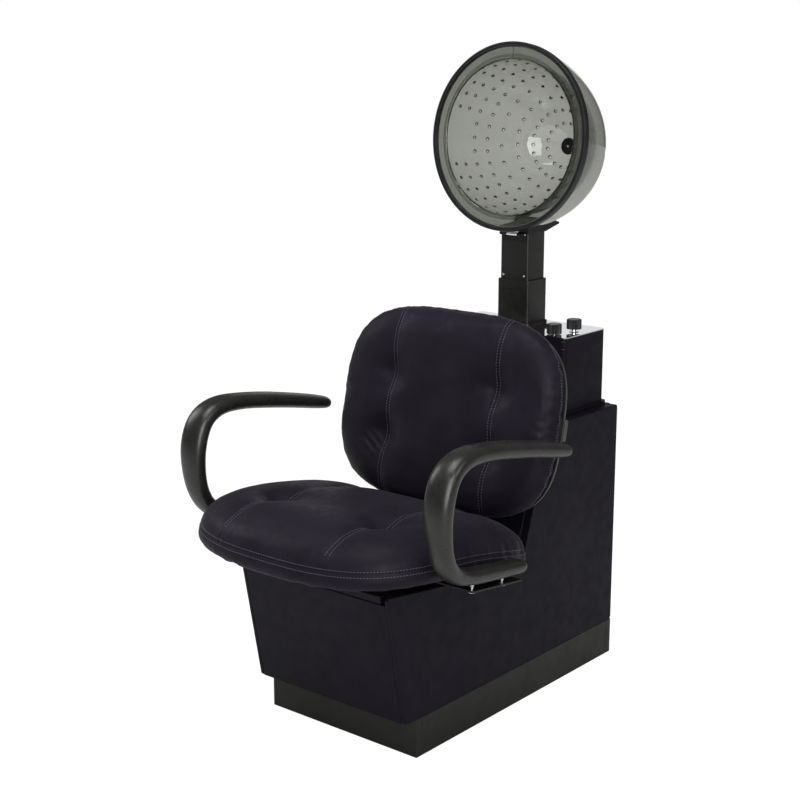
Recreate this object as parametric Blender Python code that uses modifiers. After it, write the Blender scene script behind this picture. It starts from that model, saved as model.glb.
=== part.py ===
"""Salon hood hair dryer built on a box-base chair.

Metres, +Z up, the sitter faces -Y, X is the chair's width.  The origin is on the
floor under the middle of the whole dryer.  Everything is modelled in cabinet
coordinates, where y = 0 is the front face of the plinth, and hangs from one empty
that carries the cabinet to its place about the origin.
"""

import math

import bmesh
import bpy
from mathutils import Matrix, Vector

# ---------------------------------------------------------------- driving sizes
GAP = 0.0003                # seam between pieces that touch
PLINTH_FRONT_Y = -0.277     # plinth front face, from the origin

# cabinet
WIDTH = 0.380
DEPTH = 0.686
PLINTH_HEIGHT = 0.079
PLINTH_BOARD = 0.018
PANEL = 0.019               # side panels
BOARD = 0.016               # front, rear, floor and deck boards
EDGE_ROUND = 0.0012
FRONT_FOOT_Y = -0.0345      # the front leans out over the toe space
FRONT_TOP_Y = -0.085
FRONT_TOP_Z = 0.347
REBATE_LIP = 0.008          # strip of side panel that shows beside the front panel
SEAT_RAKE = math.radians(7.2)
TOWER_FOOT_Y = 0.338
TOWER_LEAN = math.radians(18.2)
TOWER_TOP_Z = 0.570
CORNER_ROUND = 0.006

# seat
RAIL_HEIGHT = 0.028
RAIL_WIDTH = 0.030
RAIL_X = 0.120
RAIL_FRONT = -0.045
RAIL_REAR = 0.235
BRACKET_PLATE = 0.004
SEAT_BOARD = 0.012
SEAT_HALF_WIDTH = 0.280
SEAT_FRONT = -0.216
SEAT_MIDDLE = 0.020         # widest station of the seat
SEAT_REAR = 0.310
SEAT_POWERS = (2.9, 4.7)    # squareness of the outline, front half and rear half
SEAT_LIFT = 0.010           # cushion's flat underside above the bottom of the seat board
SEAT_CROWN = 0.090          # crown above the cushion's lower edge
SEAT_BORDER = 0.032         # height of the sewn border
SEAT_NOSE = 0.025           # how far the front rolls down
SEAT_TAIL = 0.030           # how far the rear rolls down
SEAT_SEAM_X = 0.130
SEAT_TUFT = -0.045
BOARD_INSET = 0.046         # seat board inside the cushion's outline

# back
RECLINE = math.radians(12.0)
BACK_MID_Y = 0.294          # front of the back at its middle height
BACK_MID_Z = 0.600
BACK_HALF_WIDTH = 0.270
BACK_HALF_HEIGHT = 0.203
BACK_THICKNESS = 0.060
BACK_BORDER = 0.030
BACK_SEAM_X = 0.132
BACK_POWERS = (3.3, 3.3)
BACK_TUFTS = (-0.068, 0.060)
SHELL_WALL = 0.004
SHELL_INSET = 0.008         # shell inside the cushion's outline
SHELL_BORDER = 0.009
SHELL_CROWN = 0.018
MOUNT_PLATE = 0.010
MOUNT_PLATE_HALF = 0.247
MOUNT_PLATE_HEIGHT = 0.078
MOUNT_PLATE_DROP = 0.083    # lower edge, below the back's middle
STANDOFF_X = 0.105
STANDOFF_WIDTH = 0.040

# arms
ARM_GAP = 0.031             # middle of the arm outside the seat's edge
ARM_WIDTH = 0.052
ARM_THICK = 0.035
ARM_FRONT = -0.090          # foremost line of the arm's middle
ARM_REACH = 0.378
ARM_FOOT = 0.3712           # lowest line of the arm's middle
ARM_RISE = 0.2488
ARM_BOLT_Y = (0.012, 0.105)
ARM_BOLT_RADIUS = 0.004
ARM_BOLT_LENGTH = 0.022
ARM_BOLT_INSET = 0.006      # bolts inside the middle of the arm
BOLT_HEAD_RADIUS = 0.0065
BOLT_HEAD = 0.0038
ARM_BRACKET_FRONT = -0.004
ARM_BRACKET_REAR = 0.150
ARM_BRACKET_INNER = 0.098
ARM_BRACKET_MARGIN = 0.009  # bracket beyond the middle of the arm
HOLE_CLEARANCE = 0.0004

# control box
BOX_INSET = 0.025           # box's sides inside the cabinet's
BOX_DEPTH = 0.154
BOX_SETBACK = 0.019         # box's rear face ahead of the cabinet's
BOX_BASE = 0.579
BOX_TOP = 0.735
BOX_WALL = 0.002
BOX_ROUND = 0.010
TOP_PLATE = 0.002
FLANGE = 0.006
FLANGE_MARGIN = 0.008

# telescopic post, which is also the air duct
SLEEVE_WIDE = 0.080
SLEEVE_DEEP = 0.070
SLEEVE_WALL = 0.0015
SLEEVE_FOOT = 0.449
POST_SETBACK = 0.096        # post's axis ahead of the cabinet's rear face
POST_WIDE = 0.072
POST_DEEP = 0.063
POST_WALL = 0.002
POST_TOP = 0.938
POST_LENGTH = 0.330
POST_SHOWS = 0.100          # post above its sleeve when it is right down
POST_CORNER = 0.004
BUSH_HEIGHT = 0.020
COLLAR_HEIGHT = 0.010
COLLAR_THICK = 0.003
STOP_SCREW_RADIUS = 0.0028
STOP_SCREW_HEAD = 0.0025
STOP_SCREW_X = 0.0265
STOP_SCREW_RISE = 0.006     # screw heads above the sleeve's top edge

# hood
RIM_FORWARD = 0.062         # middle of the rim, ahead of the post's axis
RIM_RISE = 0.2012           # middle of the rim, above the post's top
HOOD_TILT = math.radians(4.9)
RIM_RADIUS = 0.1912
OUTER_DEPTH = 0.244
OUTER_WALL = 0.003
DOME_POWER = 1.9
OUTER_DIP = 0.080           # the crown hangs down by this share of the depth
INNER_DIP = 0.045
INNER_RADIUS = 0.1613
INNER_DEPTH = 0.2330
INNER_WALL = 0.0024
INNER_LIP = 0.009
RING_THICK = 0.003
GASKET_WIDTH = 0.0100
GASKET_FRONT = 0.006
GASKET_SIDE = 0.009
GASKET_SKIN = 0.003
AIR_HOLE_RADIUS = 0.0022
HUB_RADIUS = 0.0185
HUB_THICK = 0.006
HUB_SLOPE = 0.15            # fall of the plug's upper face, a little more than the dome's
HUB_STEM = 0.006
DUCT = 0.046                # square air way from the post into the hood
SHOE_TAIL = 0.082           # shoe's tongue behind the post's axis
SHOE_HALF = 0.037
SHOE_PLATE = 0.0035

# hood hinge
PIN_FORWARD = 0.0075        # pin ahead of the post's front face
PIN_DROP = 0.0015           # pin below the post's top
PIN_RADIUS = 0.0018
KNUCKLE_RADIUS = 0.0036
LEAF = 0.0015
LEAF_HALF = 0.031
LEAF_DROP = 0.016
LEAF_RISE = 0.0062
KNUCKLE_HALF = 0.013        # half the middle knuckle's length

# knobs
TIMER_KNOB_INSET = 0.044    # stems from the box's side face
HEAT_KNOB_INSET = 0.027
KNOB_RADIUS = 0.0158
KNOB_HEIGHT = 0.0205
TIMER_KNOB_SETBACK = 0.024  # stems from the box's front face
HEAT_KNOB_SETBACK = 0.073
TIMER_KNOB_LIFT = 0.002
HEAT_KNOB_LIFT = 0.007
KNOB_STEM = 0.004
KNOB_REACH = 0.014
KNOB_FLUTES = 18

# blower
SCROLL_FORWARD = 0.037      # blower's axis ahead of the post's
SCROLL_DROP = 0.089         # blower's axis below the sleeve's foot
SCROLL_START = 0.060
SCROLL_END = 0.0705
SCROLL_INSET = 0.002        # blower's sides inside the sleeve's
SCROLL_WALL = 0.0025
INLET_RADIUS = 0.040
IMPELLER_RADIUS = 0.050
IMPELLER_ROOT = 0.036
IMPELLER_HALF = 0.024
IMPELLER_BLADES = 14
MOTOR_RADIUS = 0.034
MOTOR_LENGTH = 0.062
SHAFT_RADIUS = 0.004
HEATER_HEIGHT = 0.060
HEATER_PLATE = 0.002

# rear services
GRILLE_Z = 0.300
GRILLE_HALF_WIDTH = 0.065
GRILLE_HALF_HEIGHT = 0.045
GRILLE_THICK = 0.003
GRILLE_OVERLAP = 0.009
GRILLE_SLOTS = 7
GLAND_X = -0.105
GLAND_Z = 0.135
GLAND_RADIUS = 0.010
GLAND_BORE = 0.0038

# ---------------------------------------------------------------- derived sizes
SIDE_X = WIDTH / 2
BOX_HALF = SIDE_X - BOX_INSET
BOX_REAR = DEPTH - BOX_SETBACK
BOX_FRONT = BOX_REAR - BOX_DEPTH
POST_MID_Y = DEPTH - POST_SETBACK
TIMER_KNOB_X = BOX_HALF - TIMER_KNOB_INSET
TIMER_KNOB_Y = BOX_FRONT + TIMER_KNOB_SETBACK
HEAT_KNOB_X = BOX_HALF - HEAT_KNOB_INSET
HEAT_KNOB_Y = BOX_FRONT + HEAT_KNOB_SETBACK
RIM_Y = POST_MID_Y - RIM_FORWARD
RIM_Z = POST_TOP + RIM_RISE
POST_FOOT = POST_TOP - POST_LENGTH
SLEEVE_TOP = POST_TOP - POST_SHOWS
SHOE_REAR = POST_MID_Y + SHOE_TAIL
SCROLL_Y = POST_MID_Y - SCROLL_FORWARD
SCROLL_Z = SLEEVE_FOOT - SCROLL_DROP
INNER_X = SIDE_X - PANEL
ARM_X = SEAT_HALF_WIDTH + ARM_GAP
ARM_BOLT_X = ARM_X - ARM_BOLT_INSET
PLINTH_TOP = PLINTH_HEIGHT + GAP
POST_HALF = (POST_WIDE / 2, POST_DEEP / 2)
POST_FRONT = POST_MID_Y - POST_DEEP / 2
POST_REAR = POST_MID_Y + POST_DEEP / 2
SLEEVE_HALF = (SLEEVE_WIDE / 2, SLEEVE_DEEP / 2)
SLEEVE_BORE = SLEEVE_DEEP / 2 - SLEEVE_WALL
SCROLL_HALF = SLEEVE_WIDE / 2 - SCROLL_INSET
BRACKET_BASE = RAIL_HEIGHT + GAP
BRACKET_TOP = BRACKET_BASE + BRACKET_PLATE
BOARD_BASE = BRACKET_TOP + GAP
BOARD_TOP = BOARD_BASE + SEAT_BOARD
PIN_Y = POST_FRONT - PIN_FORWARD
PIN_Z = POST_TOP - PIN_DROP
PLATE_TOP = BOX_TOP + TOP_PLATE


# ---------------------------------------------------------------- scene set-up
def clear_scene():
    for item in list(bpy.data.objects):
        bpy.data.objects.remove(item, do_unlink=True)


def collection(name):
    group = bpy.data.collections.new(name)
    bpy.context.scene.collection.children.link(group)
    return group


clear_scene()
PARTS = collection("hood_hair_dryer")
CUTTERS = collection("cutters")


def material(name, colour, roughness, metallic=0.0, alpha=1.0):
    finish = bpy.data.materials.new(name)
    finish.use_nodes = True
    shader = finish.node_tree.nodes["Principled BSDF"]
    shader.inputs["Base Color"].default_value = (*colour, 1.0)
    shader.inputs["Roughness"].default_value = roughness
    shader.inputs["Metallic"].default_value = metallic
    shader.inputs["Alpha"].default_value = alpha
    finish.diffuse_color = (*colour, alpha)
    return finish


def finish_like(name, kind):
    """The Principled material of one object, from the finish it belongs to."""
    kinds = {
        "laminate": ((0.016, 0.012, 0.022), 0.45),
        "plinth": ((0.030, 0.032, 0.028), 0.55),
        "vinyl": ((0.020, 0.015, 0.028), 0.48),
        "urethane": ((0.022, 0.023, 0.021), 0.42),
        "shell": ((0.030, 0.032, 0.029), 0.45),
        "board": ((0.45, 0.33, 0.20), 0.70),
        "black_steel": ((0.015, 0.015, 0.015), 0.40, 0.6),
        "post_steel": ((0.028, 0.029, 0.026), 0.38, 0.5),
        "zinc": ((0.55, 0.55, 0.55), 0.30, 1.0),
        "chrome": ((0.80, 0.80, 0.80), 0.08, 1.0),
        "smoked": ((0.20, 0.21, 0.19), 0.10, 0.0, 0.45),
        "rubber": ((0.010, 0.010, 0.011), 0.60),
        "knob": ((0.030, 0.031, 0.030), 0.50),
        "mica": ((0.55, 0.50, 0.40), 0.60),
    }
    return material(name, *kinds[kind])


# ---------------------------------------------------------------- object helpers
def empty(name, location=(0, 0, 0), rotation=(0, 0, 0), parent=None):
    holder = bpy.data.objects.new(name, None)
    holder.empty_display_size = 0.05
    holder.location = location
    holder.rotation_euler = rotation
    holder.parent = parent
    PARTS.objects.link(holder)
    return holder


def place(name, data, kind, parent, location=(0, 0, 0), rotation=(0, 0, 0), cutter=False):
    """Link a mesh or curve as one named piece, or as a cutter when asked."""
    piece = bpy.data.objects.new(name, data)
    piece.parent = parent
    piece.location = location
    piece.rotation_euler = rotation
    if cutter:
        CUTTERS.objects.link(piece)
        piece.hide_render = True
        piece.display_type = "WIRE"
    else:
        PARTS.objects.link(piece)
        data.materials.append(finish_like(name, kind))
    return piece


def mesh_from(bm, name):
    bmesh.ops.recalc_face_normals(bm, faces=bm.faces)
    data = bpy.data.meshes.new(name)
    bm.to_mesh(data)
    bm.free()
    return data


def smooth(piece, degrees=35):
    piece.data.shade_smooth()
    piece.data.set_sharp_from_angle(angle=math.radians(degrees))
    return piece


def box(name, low, high, kind, parent, edge=0.0, cutter=False):
    """A box from corner to corner, with its edges rounded off by `edge`."""
    low, high = Vector(low), Vector(high)
    bm = bmesh.new()
    bmesh.ops.create_cube(bm, size=1.0)
    bmesh.ops.scale(bm, vec=high - low, verts=bm.verts)
    if edge:
        bmesh.ops.bevel(bm, geom=bm.edges[:], offset=edge, segments=1, profile=0.5,
                        affect="EDGES", material=-1)
    return place(name, mesh_from(bm, name), kind, parent, (low + high) / 2, cutter=cutter)


def grown(half, by):
    """Half width and half depth of a bar's section, each made larger by the same amount."""
    return half[0] + by, half[1] + by


def post_box(name, half, low_z, high_z, corner, kind, parent, mid_y=POST_MID_Y, cutter=False):
    """An upright bar round the post's axis, its four long corners rounded."""
    half_x, half_y = half
    bm = bmesh.new()
    bmesh.ops.create_cube(bm, size=1.0)
    bmesh.ops.scale(bm, vec=(2 * half_x, 2 * half_y, high_z - low_z), verts=bm.verts)
    upright = [e for e in bm.edges if abs(e.verts[0].co.z - e.verts[1].co.z) > 1e-6]
    bmesh.ops.bevel(bm, geom=upright, offset=corner, segments=3, profile=0.5,
                    affect="EDGES", material=-1)
    centre = (0, mid_y, (low_z + high_z) / 2)
    return place(name, mesh_from(bm, name), kind, parent, centre, cutter=cutter)


def cylinder(name, radius, length, kind, parent, location, rotation=(0, 0, 0), sides=20,
             top_radius=None, cutter=False):
    """A round bar along its own Z, centred on `location`."""
    bm = bmesh.new()
    top = radius if top_radius is None else top_radius
    bmesh.ops.create_cone(bm, cap_ends=True, segments=sides, radius1=radius, radius2=top,
                          depth=length)
    piece = place(name, mesh_from(bm, name), kind, parent, location, rotation, cutter)
    return smooth(piece)


def turned(name, profile, kind, parent, location=(0, 0, 0), rotation=(0, 0, 0), steps=32,
           dip=0.0, cutter=False):
    """Spin a profile of (radius, height) about local Z, leaning it over towards +Y by `dip`."""
    bm = bmesh.new()
    closed = profile[0] == profile[-1]
    points = profile[:-1] if closed else profile
    rim = [bm.verts.new((radius, 0, height)) for radius, height in points]
    edges = [bm.edges.new(pair) for pair in zip(rim, rim[1:] + (rim[:1] if closed else []))]
    bmesh.ops.spin(bm, geom=rim + edges, cent=(0, 0, 0), axis=(0, 0, 1), angle=2 * math.pi,
                   steps=steps, use_merge=True)
    bmesh.ops.remove_doubles(bm, verts=bm.verts, dist=0.00005)
    for vert in bm.verts:
        vert.co.y += dip * max(0.0, vert.co.z)
    piece = place(name, mesh_from(bm, name), kind, parent, location, rotation, cutter)
    piece.data.shade_smooth()
    return piece


def walled(piece, wall, side):
    """Give an open shell its thickness, inwards for side -1 and outwards for side 1."""
    skin = piece.modifiers.new("wall", "SOLIDIFY")
    skin.thickness = wall
    skin.offset = side
    skin.use_even_offset = True
    return piece


def cut(piece, cutter, operation="DIFFERENCE"):
    trim = piece.modifiers.new(cutter.name, "BOOLEAN")
    trim.operation = operation
    trim.solver = "EXACT"
    trim.object = cutter
    return piece


# ---------------------------------------------------------------- flat outlines
def rounded(corners, radius, steps=3):
    """A closed outline whose corners are turned with arcs of one radius."""
    outline = []
    for index, corner in enumerate(corners):
        here = Vector(corner)
        before = (Vector(corners[index - 1]) - here).normalized()
        after = (Vector(corners[(index + 1) % len(corners)]) - here).normalized()
        half_turn = before.angle(after) / 2
        reach = radius / math.tan(half_turn)
        centre = here + (before + after).normalized() * radius / math.sin(half_turn)
        start = here + before * reach - centre
        end = here + after * reach - centre
        for step in range(steps + 1):
            spoke = start.lerp(end, step / steps).normalized() * radius
            outline.append(tuple(centre + spoke))
    return outline


def extruded(name, outline, low, high, kind, parent, facing="Z", cutter=False, edge=0.0,
             location=(0, 0, 0)):
    """A flat outline given thickness along local X (outline in y, z) or Z (in x, y)."""
    curve = bpy.data.curves.new(name, "CURVE")
    curve.dimensions = "2D"
    curve.fill_mode = "BOTH"
    curve.extrude = (high - low) / 2
    spline = curve.splines.new("POLY")
    spline.points.add(len(outline) - 1)
    for point, (across, up) in zip(spline.points, outline):
        point.co = (across, up, 0, 1)
    spline.use_cyclic_u = True
    helper = bpy.data.objects.new(name + "_outline", curve)
    bpy.context.scene.collection.objects.link(helper)
    bpy.context.view_layer.update()
    evaluated = helper.evaluated_get(bpy.context.evaluated_depsgraph_get())
    flat = bpy.data.meshes.new_from_object(evaluated)
    bpy.data.objects.remove(helper, do_unlink=True)
    bpy.data.curves.remove(curve)
    bm = bmesh.new()
    bm.from_mesh(flat)
    bpy.data.meshes.remove(flat)
    bmesh.ops.remove_doubles(bm, verts=bm.verts, dist=0.00001)
    bmesh.ops.dissolve_limit(bm, angle_limit=math.radians(0.5), verts=bm.verts, edges=bm.edges)
    bmesh.ops.translate(bm, verts=bm.verts, vec=(0, 0, (low + high) / 2))
    if facing == "X":
        bmesh.ops.rotate(bm, verts=bm.verts, matrix=Matrix(((0, 0, 1), (1, 0, 0), (0, 1, 0))))
    piece = place(name, mesh_from(bm, name), kind, parent, location, cutter=cutter)
    if edge:
        ease = piece.modifiers.new("eased_edges", "BEVEL")
        ease.width = edge
        ease.segments = 1
        ease.limit_method = "ANGLE"
        ease.angle_limit = math.radians(50)
    return piece


def line(point, direction):
    return Vector(point), Vector(direction).normalized()


def through(first, second):
    return line(first, Vector(second) - Vector(first))


def shifted(edge, distance):
    """The parallel line at `distance` to the right of the line's direction."""
    point, along = edge
    return point + Vector((along.y, -along.x)) * distance, along


def meet(first, second):
    """Where two lines of the (y, z) plane cross."""
    p, u = first
    q, v = second
    reach = ((q - p).x * v.y - (q - p).y * v.x) / (u.x * v.y - u.y * v.x)
    return p + u * reach


def outline_radius(across, along, power):
    """Distance from the middle to a superellipse's edge, as a share of full size."""
    return (abs(across) ** power + abs(along) ** power) ** (1 / power)


def oval(half_x, low_y, high_y, power, count=40):
    """A rounded-rectangle outline, larger powers being squarer."""
    mid, half_y = (low_y + high_y) / 2, (high_y - low_y) / 2
    outline = []
    for index in range(count):
        turn = 2 * math.pi * index / count
        across, along = math.cos(turn), math.sin(turn)
        reach = outline_radius(across, along, power)
        outline.append((half_x * across / reach, mid + half_y * along / reach))
    return outline


# ---------------------------------------------------------------- frames
CABINET = empty("cabinet_frame", (0, PLINTH_FRONT_Y, 0))

# cabinet outline in (y, z): each line runs so that its right side faces inwards
FRONT = through((FRONT_FOOT_Y, PLINTH_HEIGHT), (FRONT_TOP_Y, FRONT_TOP_Z))
TOP = line((FRONT_TOP_Y, FRONT_TOP_Z), (math.cos(SEAT_RAKE), -math.sin(SEAT_RAKE)))
TOWER_FOOT = meet(TOP, line((TOWER_FOOT_Y, 0), (0, 1)))
TOWER = line(TOWER_FOOT, (math.sin(TOWER_LEAN), math.cos(TOWER_LEAN)))
ROOF = line((0, TOWER_TOP_Z), (1, 0))
REAR = line((DEPTH, 0), (0, -1))
BASE = line((0, PLINTH_TOP), (-1, 0))

SEAT_ORIGIN = meet(TOP, line((0, 0), (0, 1)))
SEAT = empty("seat_frame", (0, 0, SEAT_ORIGIN.y), (-SEAT_RAKE, 0, 0), CABINET)
BACK = empty("back_frame", (0, BACK_MID_Y, BACK_MID_Z), (math.pi / 2 - RECLINE, 0, 0), CABINET)
TILT = empty("hood_tilt_axis", (0, PIN_Y, PIN_Z), (0, 0, 0), CABINET)
HOOD = empty("hood_frame", (0, RIM_Y - PIN_Y, RIM_Z - PIN_Z),
             (-math.pi / 2 - HOOD_TILT, 0, 0), TILT)
# the hood frame's Z runs from the rim into the dome, its Y points down


# ---------------------------------------------------------------- cabinet
def plinth():
    bar = PLINTH_BOARD
    for side, name in ((-1, "plinth_side_left"), (1, "plinth_side_right")):
        edges = sorted((side * (SIDE_X - bar), side * SIDE_X))
        box(name, (edges[0], bar + GAP, 0), (edges[1], DEPTH - bar - GAP, PLINTH_HEIGHT),
            "plinth", CABINET, EDGE_ROUND)
    box("plinth_front", (-SIDE_X, 0, 0), (SIDE_X, bar, PLINTH_HEIGHT), "plinth", CABINET,
        EDGE_ROUND)
    box("plinth_rear", (-SIDE_X, DEPTH - bar, 0), (SIDE_X, DEPTH, PLINTH_HEIGHT), "plinth",
        CABINET, EDGE_ROUND)


def yz_board(name, corners, half_x, edge=EDGE_ROUND, kind="laminate"):
    return extruded(name, [tuple(c) for c in corners], -half_x, half_x, kind, CABINET, "X",
                    edge=edge)


def side_panels():
    corners = [meet(BASE, FRONT), meet(FRONT, TOP), TOWER_FOOT, meet(TOWER, ROOF),
               meet(ROOF, REAR), meet(REAR, BASE)]
    outline = rounded([tuple(c) for c in corners], CORNER_ROUND)
    inner_face = shifted(FRONT, BOARD + GAP)
    outer_face = shifted(FRONT, -BOARD)
    above, below = shifted(TOP, -BOARD), shifted(BASE, -BOARD)
    recess = [meet(outer_face, below), meet(outer_face, above), meet(inner_face, above),
              meet(inner_face, below)]
    for side, name in ((-1, "side_panel_left"), (1, "side_panel_right")):
        low, high = sorted((side * INNER_X, side * SIDE_X))
        panel = extruded(name, outline, low, high, "laminate", CABINET, "X", edge=EDGE_ROUND)
        reach = sorted((side * (INNER_X - PANEL), side * (SIDE_X - REBATE_LIP)))
        rebate = extruded(name + "_rebate", [tuple(c) for c in recess], reach[0], reach[1],
                          None, CABINET, "X", cutter=True)
        cut(panel, rebate)


def front_board():
    inner = shifted(FRONT, BOARD)
    foot = shifted(BASE, GAP)
    brow = shifted(TOP, BOARD + GAP)
    corners = [meet(FRONT, foot), meet(FRONT, brow), meet(inner, brow), meet(inner, foot)]
    yz_board("front_panel", corners, SIDE_X - REBATE_LIP - GAP)


def inner_boards():
    """Floor, deck, tower front, tower top and rear, each fitted between its neighbours."""
    room = INNER_X - GAP
    front = shifted(FRONT, BOARD + GAP)
    rear = shifted(REAR, BOARD + GAP)
    floor_top = shifted(BASE, BOARD)
    yz_board("cabinet_floor", [meet(front, BASE), meet(front, floor_top),
                               meet(rear, floor_top), meet(rear, BASE)], room)
    tower_back = shifted(TOWER, BOARD)
    under = shifted(TOP, BOARD)
    deck_front = shifted(FRONT, EDGE_ROUND)
    stop = shifted(TOWER, -GAP)
    yz_board("seat_deck", [meet(deck_front, under), meet(deck_front, TOP), meet(stop, TOP),
                           meet(stop, under)], room)
    ceiling = shifted(ROOF, BOARD + GAP)
    yz_board("tower_front_panel", [meet(TOWER, shifted(TOP, 0)), meet(TOWER, ceiling),
                                   meet(tower_back, ceiling), meet(tower_back, TOP)], room)
    roof_low = shifted(ROOF, BOARD)
    yz_board("tower_top", [meet(TOWER, roof_low), meet(TOWER, ROOF), meet(REAR, ROOF),
                           meet(REAR, roof_low)], room)
    rear_in = shifted(REAR, BOARD)
    yz_board("rear_panel", [meet(REAR, BASE), meet(rear_in, BASE), meet(rear_in, ceiling),
                            meet(REAR, ceiling)], room)


def cabinet_openings():
    """Square way for the post through the tower's top, and the rear services."""
    way = post_box("post_way", grown(SLEEVE_HALF, GAP), SLEEVE_FOOT, SLEEVE_TOP, POST_CORNER, None,
                   CABINET, cutter=True)
    cut(bpy.data.objects["tower_top"], way)
    vent = box("vent_way", (-GRILLE_HALF_WIDTH, DEPTH - 2 * BOARD, GRILLE_Z - GRILLE_HALF_HEIGHT),
               (GRILLE_HALF_WIDTH, DEPTH + BOARD, GRILLE_Z + GRILLE_HALF_HEIGHT), None, CABINET,
               cutter=True)
    cut(bpy.data.objects["rear_panel"], vent)
    entry = cylinder("gland_way", GLAND_RADIUS + HOLE_CLEARANCE, 3 * BOARD, None, CABINET,
                     (GLAND_X, DEPTH - BOARD / 2, GLAND_Z), (math.pi / 2, 0, 0), cutter=True)
    cut(bpy.data.objects["rear_panel"], entry)
    return way


# ---------------------------------------------------------------- seat and arms
def grid_lines(low, high, marks, reach=0.017, pitch=0.037):
    """Stations from low to high, close together at both ends and beside every mark."""
    fixed = {low, low + 0.007, low + 0.020, high - 0.020, high - 0.007, high}
    for mark in marks:
        fixed.update((mark - reach, mark, mark + reach))
    fixed = sorted(fixed)
    lines = fixed[:1]
    for start, end in zip(fixed, fixed[1:]):
        count = math.ceil((end - start) / pitch)
        lines += [start + (end - start) * (step + 1) / count for step in range(count)]
    return lines


class Outline:
    """Rounded plan of a pad, its front half and rear half each of their own squareness."""

    def __init__(self, half_x, low_y, mid_y, high_y, powers):
        self.half_x, self.low_y, self.mid_y, self.high_y = half_x, low_y, mid_y, high_y
        self.powers = powers

    def share(self, x, y):
        half_y = self.high_y - self.mid_y if y > self.mid_y else self.mid_y - self.low_y
        return x / self.half_x, (y - self.mid_y) / half_y

    def point(self, across, along):
        half_y = self.high_y - self.mid_y if along > 0 else self.mid_y - self.low_y
        return across * self.half_x, self.mid_y + along * half_y

    def radius(self, across, along):
        return min(1.0, outline_radius(across, along, self.powers[along > 0]))

    def fitted(self, x, y):
        """Shares of a grid point drawn in so that the square grid fills the plan."""
        across, along = self.share(x, y)
        edge = max(abs(across), abs(along))
        if edge < 0.000001:
            return 0.0, 0.0
        pull = outline_radius(across / edge, along / edge, self.powers[along > 0])
        draw = 1 - (1 - 1 / pull) * edge ** 2.5
        return across * draw, along * draw


def cushion(name, plan, border, crown, seam_x, tufts, parent, nose=0.0, tail=0.0, groove=0.008,
            tuft_depth=0.013, fullness=5.5, roll=0.010, flat=0.038):
    """A crowned pad with two sewn channels and its tufts, over a flat underside at z = 0."""
    columns = grid_lines(-plan.half_x, plan.half_x, (-seam_x, seam_x))
    rows = grid_lines(plan.low_y, plan.high_y, tufts)
    bm = bmesh.new()

    def sag(along):
        return -nose * max(0.0, -along) ** 2.2 - tail * max(0.0, along) ** 2

    def top(x, y):
        across, along = plan.fitted(x, y)
        radius = plan.radius(across, along)
        x, y = plan.point(across, along)
        z = border + (crown - border) * max(0.0, 1 - radius ** fullness) ** 0.55
        channel = math.exp(-((abs(x) - seam_x) / 0.016) ** 2)
        z -= groove * channel * min(1.0, 4 * (1 - radius))
        for spot in tufts:
            z -= tuft_depth * math.exp(-(math.hypot(abs(x) - seam_x, y - spot) / 0.034) ** 2)
        return x, y, z + sag(along)

    grid = [[bm.verts.new(top(x, y)) for x in columns] for y in rows]
    for lower, upper in zip(grid, grid[1:]):
        for left in range(len(columns) - 1):
            bm.faces.new((lower[left], lower[left + 1], upper[left + 1], upper[left]))
    ring = [e for e in bm.edges if e.is_boundary]
    for level, out, bent in ((border * 0.5, 0.35 * roll, 1), (0.0, -roll, 1), (0.0, -flat, 0)):
        grown = bmesh.ops.extrude_edge_only(bm, edges=ring)["geom"]
        ring = [g for g in grown if isinstance(g, bmesh.types.BMEdge)]
        for vert in (g for g in grown if isinstance(g, bmesh.types.BMVert)):
            across, along = plan.share(vert.co.x, vert.co.y)
            radius = outline_radius(across, along, plan.powers[along > 0])
            scale = (1 + out / plan.half_x) / radius
            x, y = plan.point(across * scale, along * scale)
            vert.co = (x, y, level + sag(along / radius) * bent)
    bmesh.ops.contextual_create(bm, geom=ring)
    piece = place(name, mesh_from(bm, name), "vinyl", parent)
    return smooth(piece, 60)


def seat_supports():
    for side, name in ((-1, "seat_rail_left"), (1, "seat_rail_right")):
        low, high = sorted((side * (RAIL_X - RAIL_WIDTH / 2), side * (RAIL_X + RAIL_WIDTH / 2)))
        box(name, (low, RAIL_FRONT, GAP), (high, RAIL_REAR, RAIL_HEIGHT), "black_steel", SEAT,
            EDGE_ROUND)


def seat():
    """Seat board and the cushion over it, the cushion's underside hollowed for the board."""
    plan = Outline(SEAT_HALF_WIDTH, SEAT_FRONT, SEAT_MIDDLE, SEAT_REAR, SEAT_POWERS)
    extruded("seat_board", board_outline(0.0), BOARD_BASE, BOARD_TOP, "board", SEAT)
    carrier = empty("seat_cushion_frame", (0, 0, BOARD_BASE + SEAT_LIFT), parent=SEAT)
    pad = cushion("seat_cushion", plan, SEAT_BORDER, SEAT_CROWN, SEAT_SEAM_X, (SEAT_TUFT,),
                  carrier, SEAT_NOSE, SEAT_TAIL)
    pocket = extruded("seat_board_pocket", board_outline(GAP), -SEAT_LIFT,
                      SEAT_BOARD - SEAT_LIFT + GAP, None, carrier, cutter=True)
    cut(pad, pocket)


def board_outline(grow):
    inset = BOARD_INSET - grow
    return oval(SEAT_HALF_WIDTH - inset, SEAT_FRONT + inset, SEAT_REAR - inset, 3.2, 32)


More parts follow.
